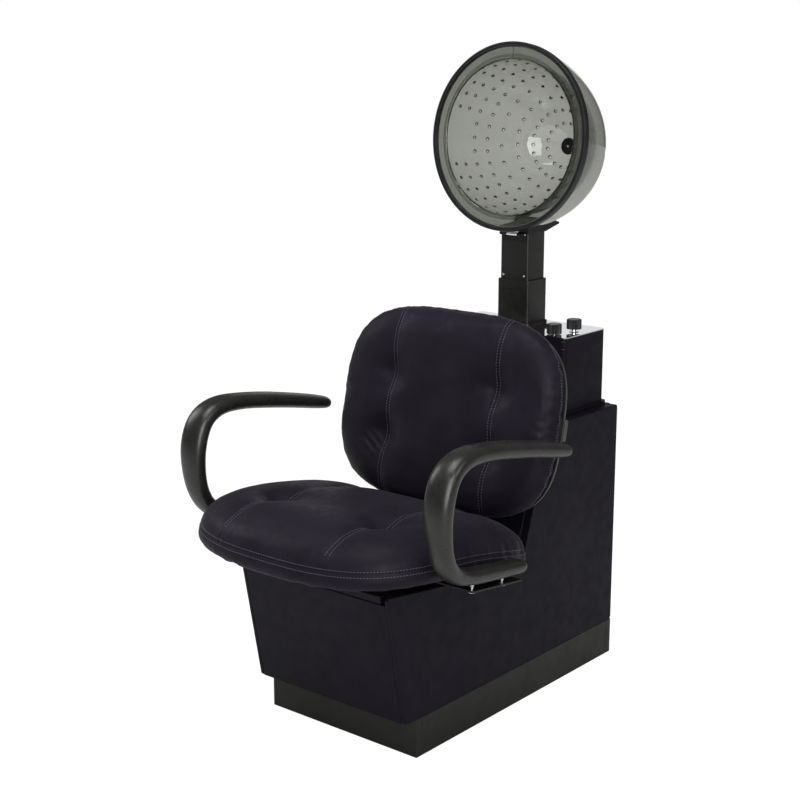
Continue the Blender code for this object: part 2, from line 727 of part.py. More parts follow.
ARM_STATIONS = (
    # share of the reach, share of the rise, sideways share of the width, width, thickness
    (1.0000, 0.8060, 0.000, 0.90, 0.78),
    (0.8995, 0.8410, 0.000, 0.96, 0.88),
    (0.7407, 0.8935, 0.000, 0.98, 0.92),
    (0.5423, 0.9518, 0.000, 1.00, 0.96),
    (0.3439, 0.9960, 0.000, 1.00, 0.96),
    (0.1746, 1.0000, 0.000, 1.04, 1.06),
    (0.0582, 0.9136, 0.000, 1.12, 1.12),
    (0.0040, 0.7267, 0.000, 1.14, 1.12),
    (0.0000, 0.5177, -0.004, 1.06, 1.02),
    (0.0291, 0.3248, -0.023, 0.96, 0.96),
    (0.0952, 0.1841, -0.058, 0.88, 0.94),
    (0.2063, 0.1037, -0.077, 0.84, 0.92),
    (0.3704, 0.0615, -0.087, 0.82, 0.90),
    (0.5291, 0.0273, -0.096, 0.80, 0.86),
    (0.6614, 0.0000, -0.115, 0.74, 0.76),
)


def spline_value(values, position):
    """Catmull-Rom reading of evenly numbered values."""
    index = min(int(position), len(values) - 2)
    share = position - index
    a = values[max(index - 1, 0)]
    b, c = values[index], values[index + 1]
    d = values[min(index + 2, len(values) - 1)]
    return 0.5 * (2 * b + (c - a) * share + (2 * a - 5 * b + 4 * c - d) * share ** 2
                  + (3 * b - a - 3 * c + d) * share ** 3)


def arm_middle(columns, position):
    """Middle of the arm in side view, (y, z)."""
    return Vector((ARM_FRONT + ARM_REACH * spline_value(columns[0], position),
                   ARM_FOOT + ARM_RISE * spline_value(columns[1], position)))


def arm_rings(sections_per_span=2):
    """(middle, direction, shift, half width, half thickness) along the arm, ends rounded."""
    spans = len(ARM_STATIONS) - 1
    columns = list(zip(*ARM_STATIONS))
    places = [index / sections_per_span for index in range(spans * sections_per_span + 1)]
    rings = []
    for position in places:
        shift, wide, thick = (spline_value(column, position) for column in columns[2:])
        step = 0.02
        low, high = max(position - step, 0), min(position + step, spans)
        along = arm_middle(columns, high) - arm_middle(columns, low)
        rings.append((arm_middle(columns, position), along.normalized(), shift * ARM_WIDTH,
                      wide * ARM_WIDTH / 2, thick * ARM_THICK / 2))
    for end, sign in ((0, -1), (-1, 1)):
        centre, along, shift, wide, thick = rings[end]
        for turn in (0.45, 0.80, 0.97):
            shrink = math.sqrt(1 - turn ** 2)
            ring = (centre + along * sign * turn * thick, along, shift,
                    wide - thick * (1 - shrink), thick * shrink)
            rings.insert(0, ring) if end == 0 else rings.append(ring)
    return rings


def arm_mesh(name, side, sides=12, power=2.5):
    bm = bmesh.new()
    previous = None
    first = None
    for centre, along, shift, wide, thick in arm_rings():
        normal = Vector((-along.y, along.x))
        ring = []
        for index in range(sides):
            turn = 2 * math.pi * index / sides
            across, out = math.cos(turn), math.sin(turn)
            reach = outline_radius(across, out, power)
            point = centre + normal * (thick * out / reach)
            x = side * (ARM_X + shift) + wide * across / reach
            ring.append(bm.verts.new((x, point.x, point.y)))
        if previous:
            for index in range(sides):
                after = (index + 1) % sides
                bm.faces.new((previous[index], previous[after], ring[after], ring[index]))
        first = first or ring
        previous = ring
    bm.faces.new(first)
    bm.faces.new(list(reversed(previous)))
    return mesh_from(bm, name)


def arms():
    seat_turn = (-SEAT_RAKE, 0, 0)
    for side, label in ((-1, "left"), (1, "right")):
        arm = place("arm_" + label, arm_mesh("arm_" + label, side), "urethane", CABINET)
        smooth(arm, 50)
        foot = box(f"arm_{label}_flat", (side * ARM_X - ARM_WIDTH, -0.12, -0.05),
                   (side * ARM_X + ARM_WIDTH, 0.30, BRACKET_TOP + GAP), None, SEAT, cutter=True)
        cut(arm, foot)
        low, high = sorted((side * ARM_BRACKET_INNER, side * (ARM_X + ARM_BRACKET_MARGIN)))
        bracket = box("arm_bracket_" + label, (low, ARM_BRACKET_FRONT, BRACKET_BASE),
                      (high, ARM_BRACKET_REAR, BRACKET_TOP), "black_steel", SEAT, 0.0008)
        for number, bolt_y in enumerate(ARM_BOLT_Y, 1):
            arm_bolt(label, side, number, bolt_y, arm, bracket)


def arm_bolt(label, side, number, bolt_y, arm, bracket):
    """A hexagon-headed bolt from below, through the bracket into the arm."""
    shank_low = BRACKET_BASE - GAP
    reach = BRACKET_PLATE + ARM_BOLT_LENGTH
    name = f"arm_bolt_{label}_{number}"
    bm = bmesh.new()
    bmesh.ops.create_cone(bm, cap_ends=True, segments=12, radius1=ARM_BOLT_RADIUS,
                          radius2=ARM_BOLT_RADIUS, depth=reach,
                          matrix=Matrix.Translation((0, 0, reach / 2 - BOLT_HEAD / 2)))
    shank = place(name + "_shank", mesh_from(bm, name), None, SEAT,
                  (side * ARM_BOLT_X, bolt_y, shank_low), cutter=True)
    head = cylinder(name, BOLT_HEAD_RADIUS, BOLT_HEAD, "zinc", SEAT,
                    (side * ARM_BOLT_X, bolt_y, shank_low - BOLT_HEAD / 2), sides=12,
                    top_radius=BOLT_HEAD_RADIUS)
    cut(head, shank, "UNION")
    hole = cylinder(name + "_hole", ARM_BOLT_RADIUS + HOLE_CLEARANCE,
                    2 * (reach + GAP), None, SEAT, (side * ARM_BOLT_X, bolt_y, shank_low), sides=12,
                    cutter=True)
    cut(bracket, hole)
    cut(arm, hole)


# ---------------------------------------------------------------- back
def back():
    cushion_frame = empty("back_cushion_frame", (0, 0, -BACK_THICKNESS), parent=BACK)
    plan = Outline(BACK_HALF_WIDTH, -BACK_HALF_HEIGHT, 0.0, BACK_HALF_HEIGHT, BACK_POWERS)
    cushion("back_cushion", plan, BACK_BORDER, BACK_THICKNESS, BACK_SEAM_X, BACK_TUFTS,
            cushion_frame, tuft_depth=0.015)
    back_shell()
    crown_rear = -BACK_THICKNESS - GAP - SHELL_CROWN
    low_y = -MOUNT_PLATE_DROP
    plate = rounded([(-MOUNT_PLATE_HALF, low_y), (MOUNT_PLATE_HALF, low_y),
                     (MOUNT_PLATE_HALF, low_y + MOUNT_PLATE_HEIGHT),
                     (-MOUNT_PLATE_HALF, low_y + MOUNT_PLATE_HEIGHT)], 0.014)
    extruded("back_mount_plate", plate, crown_rear - GAP - MOUNT_PLATE, crown_rear - GAP,
             "shell", BACK, edge=0.002)
    back_standoffs(crown_rear - GAP - MOUNT_PLATE)


def back_shell(rows=10, columns=14):
    """Moulded pan behind the cushion: a crowned sheet with its rim turned forward."""
    half_x, half_y = BACK_HALF_WIDTH - SHELL_INSET, BACK_HALF_HEIGHT - SHELL_INSET
    plan = Outline(half_x, -half_y, 0.0, half_y, BACK_POWERS)
    bm = bmesh.new()
    bmesh.ops.create_grid(bm, x_segments=columns, y_segments=rows, size=1.0)
    for vert in bm.verts:
        across, along = plan.fitted(vert.co.x * half_x, vert.co.y * half_y)
        rear = SHELL_BORDER + (SHELL_CROWN - SHELL_BORDER) * (1 - plan.radius(across, along) ** 3)
        vert.co = (*plan.point(across, along), -rear)
    rim = [e for e in bm.edges if e.is_boundary]
    grown = bmesh.ops.extrude_edge_only(bm, edges=rim)["geom"]
    for vert in (g for g in grown if isinstance(g, bmesh.types.BMVert)):
        vert.co.z = 0
    bmesh.ops.recalc_face_normals(bm, faces=bm.faces)
    if bm.faces[0].normal.z > 0:
        bmesh.ops.reverse_faces(bm, faces=bm.faces)
    data = bpy.data.meshes.new("back_shell")
    bm.to_mesh(data)
    bm.free()
    shell = place("back_shell", data, "shell", BACK, (0, 0, -BACK_THICKNESS - GAP))
    skin = shell.modifiers.new("wall", "SOLIDIFY")
    skin.thickness = SHELL_WALL
    skin.offset = -1
    smooth(shell, 40)


def back_standoffs(plate_rear):
    """Two steel blocks that carry the back's plate off the leaning tower front."""
    lean = Vector((math.sin(RECLINE), math.cos(RECLINE)))
    normal = Vector((-math.cos(RECLINE), math.sin(RECLINE)))
    middle = Vector((BACK_MID_Y, BACK_MID_Z)) + normal * (plate_rear - GAP)
    plate_line = (middle, lean)
    low = line((0, BACK_MID_Z - MOUNT_PLATE_DROP + 0.004), (1, 0))
    high = line((0, TOWER_TOP_Z - BOARD), (1, 0))
    tower_line = shifted(TOWER, -GAP)
    outline = [tuple(c) for c in (meet(plate_line, low), meet(plate_line, high),
                                  meet(tower_line, high), meet(tower_line, low))]
    for side, name in ((-1, "back_standoff_left"), (1, "back_standoff_right")):
        ends = sorted((side * (STANDOFF_X - STANDOFF_WIDTH / 2),
                       side * (STANDOFF_X + STANDOFF_WIDTH / 2)))
        extruded(name, outline, ends[0], ends[1], "black_steel", CABINET, "X", edge=0.0008)


# ---------------------------------------------------------------- control box
def control_box(post_way):
    mid_y, half_y = (BOX_FRONT + BOX_REAR) / 2, (BOX_REAR - BOX_FRONT) / 2
    case = post_box("control_box", (BOX_HALF, half_y), BOX_BASE + GAP, BOX_TOP - GAP, BOX_ROUND,
                    "laminate", CABINET, mid_y)
    inside = post_box("control_box_inside", (BOX_HALF - BOX_WALL, half_y - BOX_WALL),
                      BOX_BASE - FLANGE, BOX_TOP + FLANGE, BOX_ROUND - BOX_WALL, None, CABINET,
                      mid_y, cutter=True)
    cut(case, inside)
    plate = post_box("control_plate", (BOX_HALF, half_y), BOX_TOP, PLATE_TOP, BOX_ROUND,
                     "chrome", CABINET, mid_y)
    cut(plate, post_way)
    flange = post_box("box_flange", (BOX_HALF + FLANGE_MARGIN / 2, half_y + FLANGE_MARGIN),
                      TOWER_TOP_Z + GAP, BOX_BASE, BOX_ROUND, "laminate", CABINET, mid_y)
    cut(flange, post_way)
    controls(plate)


def controls(plate):
    """Timer and heat knobs over their switches, stems through the chrome plate."""
    rows = (("timer_knob", "timer_body", TIMER_KNOB_X, TIMER_KNOB_Y, TIMER_KNOB_LIFT, 0.019, 0.034),
            ("heat_knob", "heat_switch", HEAT_KNOB_X, HEAT_KNOB_Y, HEAT_KNOB_LIFT, 0.014, 0.026))
    for knob_name, body_name, x, y, lift, half, depth in rows:
        knob(knob_name, x, y, PLATE_TOP + lift)
        body = box(body_name, (x - half, y - half, BOX_TOP - GAP - depth),
                   (x + half, y + half, BOX_TOP - GAP), "knob", CABINET, 0.001)
        bore = cylinder(knob_name + "_way", KNOB_STEM + HOLE_CLEARANCE, 2 * (KNOB_REACH + GAP),
                        None, CABINET, (x, y, PLATE_TOP), sides=16, cutter=True)
        cut(plate, bore)
        cut(body, bore)


def knob(name, x, y, base):
    """A fluted cap on its stem, one body, turning about the stem."""
    outline = []
    for index in range(2 * KNOB_FLUTES):
        turn = math.pi * index / KNOB_FLUTES
        radius = KNOB_RADIUS - (0.0007 if index % 2 else 0)
        outline.append((radius * math.cos(turn), radius * math.sin(turn)))
    cap = extruded(name, outline, 0, KNOB_HEIGHT, "knob", CABINET, edge=0.0008,
                   location=(x, y, base))
    foot = PLATE_TOP - KNOB_REACH + GAP - base
    stem = cylinder(name + "_stem", KNOB_STEM, KNOB_HEIGHT / 2 - foot, None, cap,
                    (0, 0, (KNOB_HEIGHT / 2 + foot) / 2), sides=16, cutter=True)
    cut(cap, stem, "UNION")


# ---------------------------------------------------------------- post
def tube(name, half, wall, low_z, high_z, kind):
    piece = post_box(name, half, low_z, high_z, POST_CORNER, kind, CABINET)
    bore = post_box(name + "_bore", grown(half, -wall), low_z - BOARD, high_z + BOARD,
                    POST_CORNER - wall, None, CABINET, cutter=True)
    return cut(piece, bore)


def post():
    tube("outer_post", SLEEVE_HALF, SLEEVE_WALL, SLEEVE_FOOT, SLEEVE_TOP, "post_steel")
    inner = tube("inner_post", POST_HALF, POST_WALL, POST_FOOT, POST_TOP, "post_steel")
    bush = post_box("post_bush", grown(SLEEVE_HALF, -SLEEVE_WALL - GAP), SLEEVE_TOP - BUSH_HEIGHT,
                    SLEEVE_TOP, POST_CORNER - 0.001, "rubber", CABINET)
    way = post_box("post_bush_way", grown(POST_HALF, GAP), SLEEVE_TOP - 2 * BUSH_HEIGHT,
                   SLEEVE_TOP + BUSH_HEIGHT, POST_CORNER, None, CABINET, cutter=True)
    cut(bush, way)
    collar = post_box("post_collar", grown(SLEEVE_HALF, COLLAR_THICK), PLATE_TOP + GAP,
                      PLATE_TOP + COLLAR_HEIGHT, POST_CORNER + 0.002, "rubber", CABINET)
    cut(collar, bpy.data.objects["post_way"])
    for side, label in ((-1, "left"), (1, "right")):
        stop_screw(side, label, inner)


def stop_screw(side, label, inner):
    """A screw in the post's front face, its head just over the sleeve's top edge."""
    name = "stop_screw_" + label
    height = SLEEVE_TOP + STOP_SCREW_RISE + STOP_SCREW_RADIUS
    head_y = POST_FRONT - GAP - STOP_SCREW_HEAD / 2
    turn = (math.pi / 2, 0, 0)
    head = cylinder(name, STOP_SCREW_RADIUS, STOP_SCREW_HEAD, "zinc", CABINET,
                    (side * STOP_SCREW_X, head_y, height), turn, sides=12)
    shank = cylinder(name + "_shank", STOP_SCREW_RADIUS / 2, 2 * POST_WALL + STOP_SCREW_HEAD,
                     None, CABINET, (side * STOP_SCREW_X, POST_FRONT + POST_WALL / 2, height),
                     turn, sides=12, cutter=True)
    hole = cylinder(name + "_hole", STOP_SCREW_RADIUS / 2 + HOLE_CLEARANCE, 4 * POST_WALL, None,
                    CABINET, (side * STOP_SCREW_X, POST_FRONT, height), turn, sides=12,
                    cutter=True)
    cut(head, shank, "UNION")
    cut(inner, hole)


# ---------------------------------------------------------------- hood
def dome_profile(radius, depth, start=0.0, steps=9, power=DOME_POWER):
    """(radius, height) from the rim to the crown of a dome, along a superellipse."""
    profile = []
    for step in range(steps + 1):
        turn = math.pi / 2 * (step / steps)
        across = radius * math.cos(turn) ** (2 / power)
        height = depth * math.sin(turn) ** (2 / power)
        profile.append((0.0 if step == steps else across, start + height))
    return profile


def solid_dome(name, grow):
    """A cutter of the outer bonnet's outside, grown all round."""
    profile = [(0.0, -0.02), (RIM_RADIUS + grow, -0.02)]
    profile += dome_profile(RIM_RADIUS + grow, OUTER_DEPTH + grow)
    return turned(name, profile, None, HOOD, steps=48, dip=OUTER_DIP, cutter=True)


def duct_way():
    half = DUCT / 2
    return box("duct_way", (-half, POST_MID_Y - half - PIN_Y, -0.02),
               (half, POST_MID_Y + half - PIN_Y, 0.07), None, TILT, cutter=True)


def bonnets(duct):
    outer = turned("outer_bonnet", dome_profile(RIM_RADIUS, OUTER_DEPTH), "smoked", HOOD,
                   steps=40, dip=OUTER_DIP)
    cut(walled(outer, OUTER_WALL, -1), duct)
    seat_height = RING_THICK + GAP
    wall = dome_profile(INNER_RADIUS, INNER_DEPTH - seat_height, seat_height)
    inner = turned("inner_bonnet", [(INNER_RADIUS + INNER_LIP, seat_height)] + wall, "smoked",
                   HOOD, steps=32, dip=INNER_DIP)
    cut(walled(inner, INNER_WALL, 1), air_holes(wall))


def dome_point(share, radius, depth, start):
    """Radius, height and outward slope at a share of the way from the crown to the rim."""
    turn = math.pi / 2 * (1 - share)
    across = radius * math.cos(turn) ** (2 / DOME_POWER)
    height = start + depth * math.sin(turn) ** (2 / DOME_POWER)
    out = (across / radius) ** (DOME_POWER - 1) / radius
    up = ((height - start) / depth) ** (DOME_POWER - 1) / depth
    return across, height, math.atan2(out, up)


AIR_RINGS = (
    # share of the way from crown to rim, holes in the ring, half angle left clear at the sides
    (0.15, 10, 0),
    (0.25, 14, 0),
    (0.36, 18, 0),
    (0.47, 20, 0),
    (0.58, 24, 0),
    (0.68, 24, 0),
    (0.78, 24, 40),
    (0.88, 24, 40),
)


def air_holes(wall):
    """One cutter that drills every ring of air holes and the hub's hole."""
    depth = wall[-1][1] - wall[0][1]
    bm = bmesh.new()
    for ring, (share, count, clear) in enumerate(AIR_RINGS):
        across, height, lean = dome_point(share, INNER_RADIUS, depth, wall[0][1])
        for index in range(count):
            turn = 2 * math.pi * (index + (ring % 2) / 2) / count
            if abs(math.sin(turn)) < math.sin(math.radians(clear)):
                continue
            spin = Matrix.Rotation(turn, 4, "Z")
            pose = spin @ Matrix.Translation((across, 0, height)) @ Matrix.Rotation(lean, 4, "Y")
            bmesh.ops.create_cone(bm, cap_ends=True, segments=4, radius1=AIR_HOLE_RADIUS,
                                  radius2=AIR_HOLE_RADIUS, depth=0.012, matrix=pose)
    crown = Matrix.Translation((0, 0, wall[-1][1]))
    bmesh.ops.create_cone(bm, cap_ends=True, segments=16, radius1=HUB_STEM + HOLE_CLEARANCE,
                          radius2=HUB_STEM + HOLE_CLEARANCE, depth=0.03, matrix=crown)
    for vert in bm.verts:
        vert.co.y += INNER_DIP * max(0.0, vert.co.z)
    return place("air_holes", mesh_from(bm, "air_holes"), None, HOOD, cutter=True)


def rim_parts():
    groove_out = RIM_RADIUS + GAP
    groove_in = RIM_RADIUS - OUTER_WALL - 2 * GAP
    floor = -GAP - OUTER_DIP * 2 * OUTER_WALL
    outer = groove_out + GASKET_SKIN
    inner = outer - GASKET_WIDTH
    chamfer = GASKET_SKIN * 0.6
    profile = [(outer - chamfer, GASKET_SIDE), (outer, GASKET_SIDE - chamfer),
               (outer, -GASKET_FRONT + chamfer), (outer - chamfer, -GASKET_FRONT),
               (inner + chamfer, -GASKET_FRONT), (inner, -GASKET_FRONT + chamfer),
               (inner, GASKET_SIDE / 2), (groove_in, GASKET_SIDE / 2), (groove_in, floor),
               (groove_out, floor), (groove_out, GASKET_SIDE)]
    turned("rim_gasket", profile + profile[:1], "rubber", HOOD, steps=40, dip=OUTER_DIP)
    hole = INNER_RADIUS
    edge = inner - GAP
    band = [(edge, RING_THICK), (edge, 0), (hole, 0), (hole, RING_THICK), (edge, RING_THICK)]
    ring = turned("front_ring", band, "smoked", HOOD, steps=40, dip=OUTER_DIP)
    slit = box("ring_joint", (-0.0004, -edge - 0.01, -0.01), (0.0004, -hole + 0.01, 0.01),
               None, HOOD, cutter=True)
    cut(ring, slit)


def hub(crown):
    """The black plug inside the crown, its stem reaching up to the outer bonnet."""
    face = crown - HUB_THICK - GAP
    top = crown - GAP
    profile = [(0.0, OUTER_DEPTH), (HUB_STEM, OUTER_DEPTH), (HUB_STEM, top - HUB_SLOPE * HUB_STEM),
               (HUB_RADIUS, top - HUB_SLOPE * HUB_RADIUS), (HUB_RADIUS, face + 0.002),
               (HUB_RADIUS - 0.002, face), (0.0, face)]
    plug = turned("hub_plug", profile, "rubber", HOOD, (0, INNER_DIP * crown, 0), steps=16)
    cut(plug, solid_dome("hub_reach", -OUTER_WALL - GAP), "INTERSECT")


def shoe(duct):
    """Cradle under the outer bonnet: a block on the post's top and a tongue behind it."""
    base = POST_TOP + GAP - PIN_Z
    front = POST_FRONT - 0.003 - PIN_Y
    rear = POST_REAR - PIN_Y
    tail = SHOE_REAR - PIN_Y
    rise = 0.012
    outline = [(front, base), (rear, base), (tail, base + rise),
               (tail, base + rise + SHOE_PLATE), (rear, base + 0.03), (front, base + 0.03)]
    saddle = extruded("hood_shoe", outline, -SHOE_HALF, SHOE_HALF, "black_steel", TILT, "X")
    cut(saddle, solid_dome("shoe_seat", GAP))
    cut(saddle, duct)


def hinge():
    """Three-knuckle hinge along the post's front top edge."""
    along_x = (0, math.pi / 2, 0)
    cylinder("hinge_pin", PIN_RADIUS, 2 * LEAF_HALF + 0.004, "chrome", CABINET,
             (0, PIN_Y, PIN_Z), along_x, sides=16)
    bore = cylinder("hinge_bore", PIN_RADIUS + HOLE_CLEARANCE, 4 * LEAF_HALF, None, CABINET,
                    (0, PIN_Y, PIN_Z), along_x, sides=16, cutter=True)
    leaf_rear = POST_FRONT - GAP
    upper_rear = POST_FRONT - 0.003 - GAP
    knuckle_leaf("hinge_leaf_lower", (leaf_rear - LEAF, PIN_Z - LEAF_DROP),
                 (leaf_rear, PIN_Z - KNUCKLE_RADIUS / 2), KNUCKLE_HALF + GAP, LEAF_HALF, bore)
    knuckle_leaf("hinge_leaf_upper", (upper_rear - LEAF, PIN_Z - KNUCKLE_RADIUS / 2),
                 (upper_rear, PIN_Z + LEAF_RISE), 0.0, KNUCKLE_HALF, bore)


def knuckle_leaf(name, low, high, inner_x, outer_x, bore):
    """A leaf in (y, z) from low to high, with its knuckle or pair of knuckles."""
    along_x = (0, math.pi / 2, 0)
    leaf = box(name, (-outer_x, low[0], low[1]), (outer_x, high[0], high[1]), "chrome", CABINET)
    if inner_x:
        gate = box(name + "_gate", (-inner_x, PIN_Y - 0.01, PIN_Z - KNUCKLE_RADIUS - 0.001),
                   (inner_x, POST_FRONT, PIN_Z + 0.02), None, CABINET, cutter=True)
    spans = ((-outer_x, -inner_x), (inner_x, outer_x)) if inner_x else ((-outer_x, outer_x),)
    for number, (start, end) in enumerate(spans):
        barrel = cylinder(f"{name}_barrel_{number}", KNUCKLE_RADIUS, end - start, None, CABINET,
                          ((start + end) / 2, PIN_Y, PIN_Z), along_x, sides=16, cutter=True)
        web_low = (start, PIN_Y, PIN_Z - KNUCKLE_RADIUS / 2 - 0.0005)
        web = box(f"{name}_web_{number}", web_low, (end, high[0], PIN_Z + LEAF * 0.3), None,
                  CABINET, cutter=True)
        cut(leaf, web, "UNION")
        cut(leaf, barrel, "UNION")
    if inner_x:
        cut(leaf, gate)
    cut(leaf, bore)


# ---------------------------------------------------------------- blower and services
def scroll_outline(shrink):
    """Side view of the blower case in (y, z): a widening spiral and its upright outlet."""
    rear = SCROLL_Y + SCROLL_END - shrink
    tongue = POST_MID_Y - SLEEVE_BORE + shrink
    top = SLEEVE_FOOT - GAP + (0.02 if shrink else 0)
    outline = [(rear, top)]
    start, end = 0.0, -280.0
    steps = 28
    for step in range(steps + 1):
        share = step / steps
        turn = math.radians(start + (end - start) * share)
        radius = SCROLL_END + (SCROLL_START - SCROLL_END) * share - shrink
        outline.append((SCROLL_Y + radius * math.cos(turn), SCROLL_Z + radius * math.sin(turn)))
    outline.append((tongue, top))
    return outline


def blower():
    case = extruded("blower_housing", scroll_outline(0.0), -SCROLL_HALF, SCROLL_HALF, "zinc",
                    CABINET, "X")
    along_x = (0, math.pi / 2, 0)
    shaft_way = cylinder("shaft_way", SHAFT_RADIUS + HOLE_CLEARANCE, 4 * SCROLL_HALF, None,
                         CABINET, (0, SCROLL_Y, SCROLL_Z), along_x, sides=14, cutter=True)
    cut(case, shaft_way)
    inside = extruded("blower_inside", scroll_outline(SCROLL_WALL), -SCROLL_HALF + SCROLL_WALL,
                      SCROLL_HALF - SCROLL_WALL, None, CABINET, "X", cutter=True)
    cut(case, inside)
    inlet = cylinder("blower_inlet", INLET_RADIUS, 4 * SCROLL_WALL, None, CABINET,
                     (-SCROLL_HALF, SCROLL_Y, SCROLL_Z), along_x, sides=32, cutter=True)
    cut(case, inlet)
    impeller(along_x)
    motor_x = SCROLL_HALF + GAP + MOTOR_LENGTH / 2
    motor = cylinder("blower_motor", MOTOR_RADIUS, MOTOR_LENGTH, "zinc", CABINET,
                     (motor_x, SCROLL_Y, SCROLL_Z), along_x, sides=28)
    shaft_length = MOTOR_LENGTH / 2 + SCROLL_HALF + IMPELLER_HALF
    shaft = cylinder("motor_shaft", SHAFT_RADIUS, shaft_length, None, CABINET,
                     (motor_x - shaft_length / 2, SCROLL_Y, SCROLL_Z), along_x, sides=16,
                     cutter=True)
    cut(motor, shaft, "UNION")
    for name, low_z, high_z, rear_y in (
            ("post_bracket", 0.470, 0.505, POST_MID_Y + SLEEVE_DEEP / 2),
            ("blower_bracket", SCROLL_Z - 0.02, SCROLL_Z + 0.02, SCROLL_Y + SCROLL_END)):
        channel(name, low_z, high_z, rear_y)


def channel(name, low_z, high_z, front_y):
    """A bent steel channel between the rear panel and what it carries."""
    rear_y = DEPTH - BOARD - GAP
    web = 0.003
    piece = box(name, (-0.028, front_y + GAP, low_z), (0.028, rear_y, high_z), "black_steel",
                CABINET)
    hollow = box(name + "_hollow", (-0.05, front_y + GAP + web, low_z + web),
                 (0.05, rear_y - web, high_z - web), None, CABINET, cutter=True)
    cut(piece, hollow)


def impeller(along_x):
    """Finned wheel on the motor's shaft, turning about X."""
    outline = []
    for blade in range(IMPELLER_BLADES):
        for offset, radius in ((-0.30, IMPELLER_ROOT), (-0.10, IMPELLER_RADIUS),
                               (0.02, IMPELLER_RADIUS), (-0.04, IMPELLER_ROOT)):
            turn = 2 * math.pi * (blade + offset) / IMPELLER_BLADES
            outline.append((radius * math.cos(turn), radius * math.sin(turn)))
    wheel = extruded("impeller", outline, -IMPELLER_HALF, IMPELLER_HALF, "zinc", CABINET, "X",
                     location=(0, SCROLL_Y, SCROLL_Z))
    bore = cylinder("impeller_bore", SHAFT_RADIUS + GAP, 3 * IMPELLER_HALF, None, CABINET,
                    (0, SCROLL_Y, SCROLL_Z), along_x, sides=16, cutter=True)
    cut(wheel, bore)


def heater():
    half = SLEEVE_BORE - GAP
    low, high = SLEEVE_FOOT + 0.012, SLEEVE_FOOT + 0.012 + HEATER_HEIGHT
    card = HEATER_PLATE / 2
    frame = box("heater_element", (-half, POST_MID_Y - card, low),
                (half, POST_MID_Y + card, high), "mica", CABINET)
    cross = box("heater_cross", (-card, POST_MID_Y - half, low), (card, POST_MID_Y + half, high),
                None, CABINET, cutter=True)
    cut(frame, cross, "UNION")


def rear_services():
    outer_x = GRILLE_HALF_WIDTH + GRILLE_OVERLAP
    outer_z = GRILLE_HALF_HEIGHT + GRILLE_OVERLAP
    face = DEPTH + GAP
    grille = box("inlet_grille", (-outer_x, face, GRILLE_Z - outer_z),
                 (outer_x, face + GRILLE_THICK, GRILLE_Z + outer_z), "shell", CABINET, 0.001)
    pitch = 2 * GRILLE_HALF_HEIGHT / GRILLE_SLOTS
    for slot in range(GRILLE_SLOTS):
        mid = GRILLE_Z - GRILLE_HALF_HEIGHT + pitch * (slot + 0.5)
        gate = box(f"grille_slot_{slot}", (-GRILLE_HALF_WIDTH, face - 0.01, mid - pitch * 0.3),
                   (GRILLE_HALF_WIDTH, face + 0.01, mid + pitch * 0.3), None, CABINET,
                   cutter=True)
        cut(grille, gate)
    gland()


def gland():
    """Strain-relief gland for a mains lead, its flange on the rear panel's face."""
    flange = GLAND_RADIUS + 0.004
    profile = [(GLAND_BORE, -0.020), (GLAND_BORE, 0.016), (GLAND_RADIUS - 0.003, 0.016),
               (GLAND_RADIUS - 0.001, 0.012), (flange, 0.003), (flange, GAP),
               (GLAND_RADIUS, GAP), (GLAND_RADIUS, -0.020), (GLAND_BORE, -0.020)]
    turned("cable_gland", profile, "rubber", CABINET,
           (GLAND_X, DEPTH, GLAND_Z), (-math.pi / 2, 0, 0), steps=20)


# ---------------------------------------------------------------- build
def build():
    plinth()
    side_panels()
    front_board()
    inner_boards()
    post_way = cabinet_openings()
    seat_supports()
    seat()
    arms()
    back()
    control_box(post_way)
    post()
    duct = duct_way()
    bonnets(duct)
    rim_parts()
    hub(INNER_DEPTH)
    shoe(duct)
    hinge()
    blower()
    heater()
    rear_services()


build()
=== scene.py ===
"""The salon hood hair dryer dressed for view: vinyl, laminate, smoked bonnets and trim.

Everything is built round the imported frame, in metres, +Z up, the sitter facing -Y.
Seat, back and hood pieces are shaped in the frame of the part they sit on, then moved
into place, so that each finished object keeps its place in its mesh.
"""

import math

import bmesh
import bpy
import numpy as np
from mathutils import Matrix, Vector, noise
from mathutils.bvhtree import BVHTree


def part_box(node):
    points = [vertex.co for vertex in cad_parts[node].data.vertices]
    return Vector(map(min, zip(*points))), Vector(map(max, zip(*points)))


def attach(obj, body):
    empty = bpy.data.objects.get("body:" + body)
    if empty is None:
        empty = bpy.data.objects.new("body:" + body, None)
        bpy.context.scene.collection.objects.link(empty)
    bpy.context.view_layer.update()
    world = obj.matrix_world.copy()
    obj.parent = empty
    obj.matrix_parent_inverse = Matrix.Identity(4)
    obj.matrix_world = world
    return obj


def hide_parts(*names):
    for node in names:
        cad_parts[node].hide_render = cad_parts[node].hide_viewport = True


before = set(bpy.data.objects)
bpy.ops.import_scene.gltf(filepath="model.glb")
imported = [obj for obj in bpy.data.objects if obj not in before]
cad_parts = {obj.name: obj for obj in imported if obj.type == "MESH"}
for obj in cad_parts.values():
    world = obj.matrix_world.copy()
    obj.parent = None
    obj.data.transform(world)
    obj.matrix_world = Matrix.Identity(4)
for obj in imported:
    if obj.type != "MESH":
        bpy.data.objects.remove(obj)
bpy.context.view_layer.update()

# ------------------ places
CABINET_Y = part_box("plinth_front")[0].y
POST_LOW, POST_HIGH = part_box("inner_post")
SLEEVE_LOW, SLEEVE_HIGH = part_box("outer_post")
BOX_LOW, BOX_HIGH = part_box("control_box")
PLATE_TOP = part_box("control_plate")[1].z
POST_Y = (POST_LOW.y + POST_HIGH.y) / 2

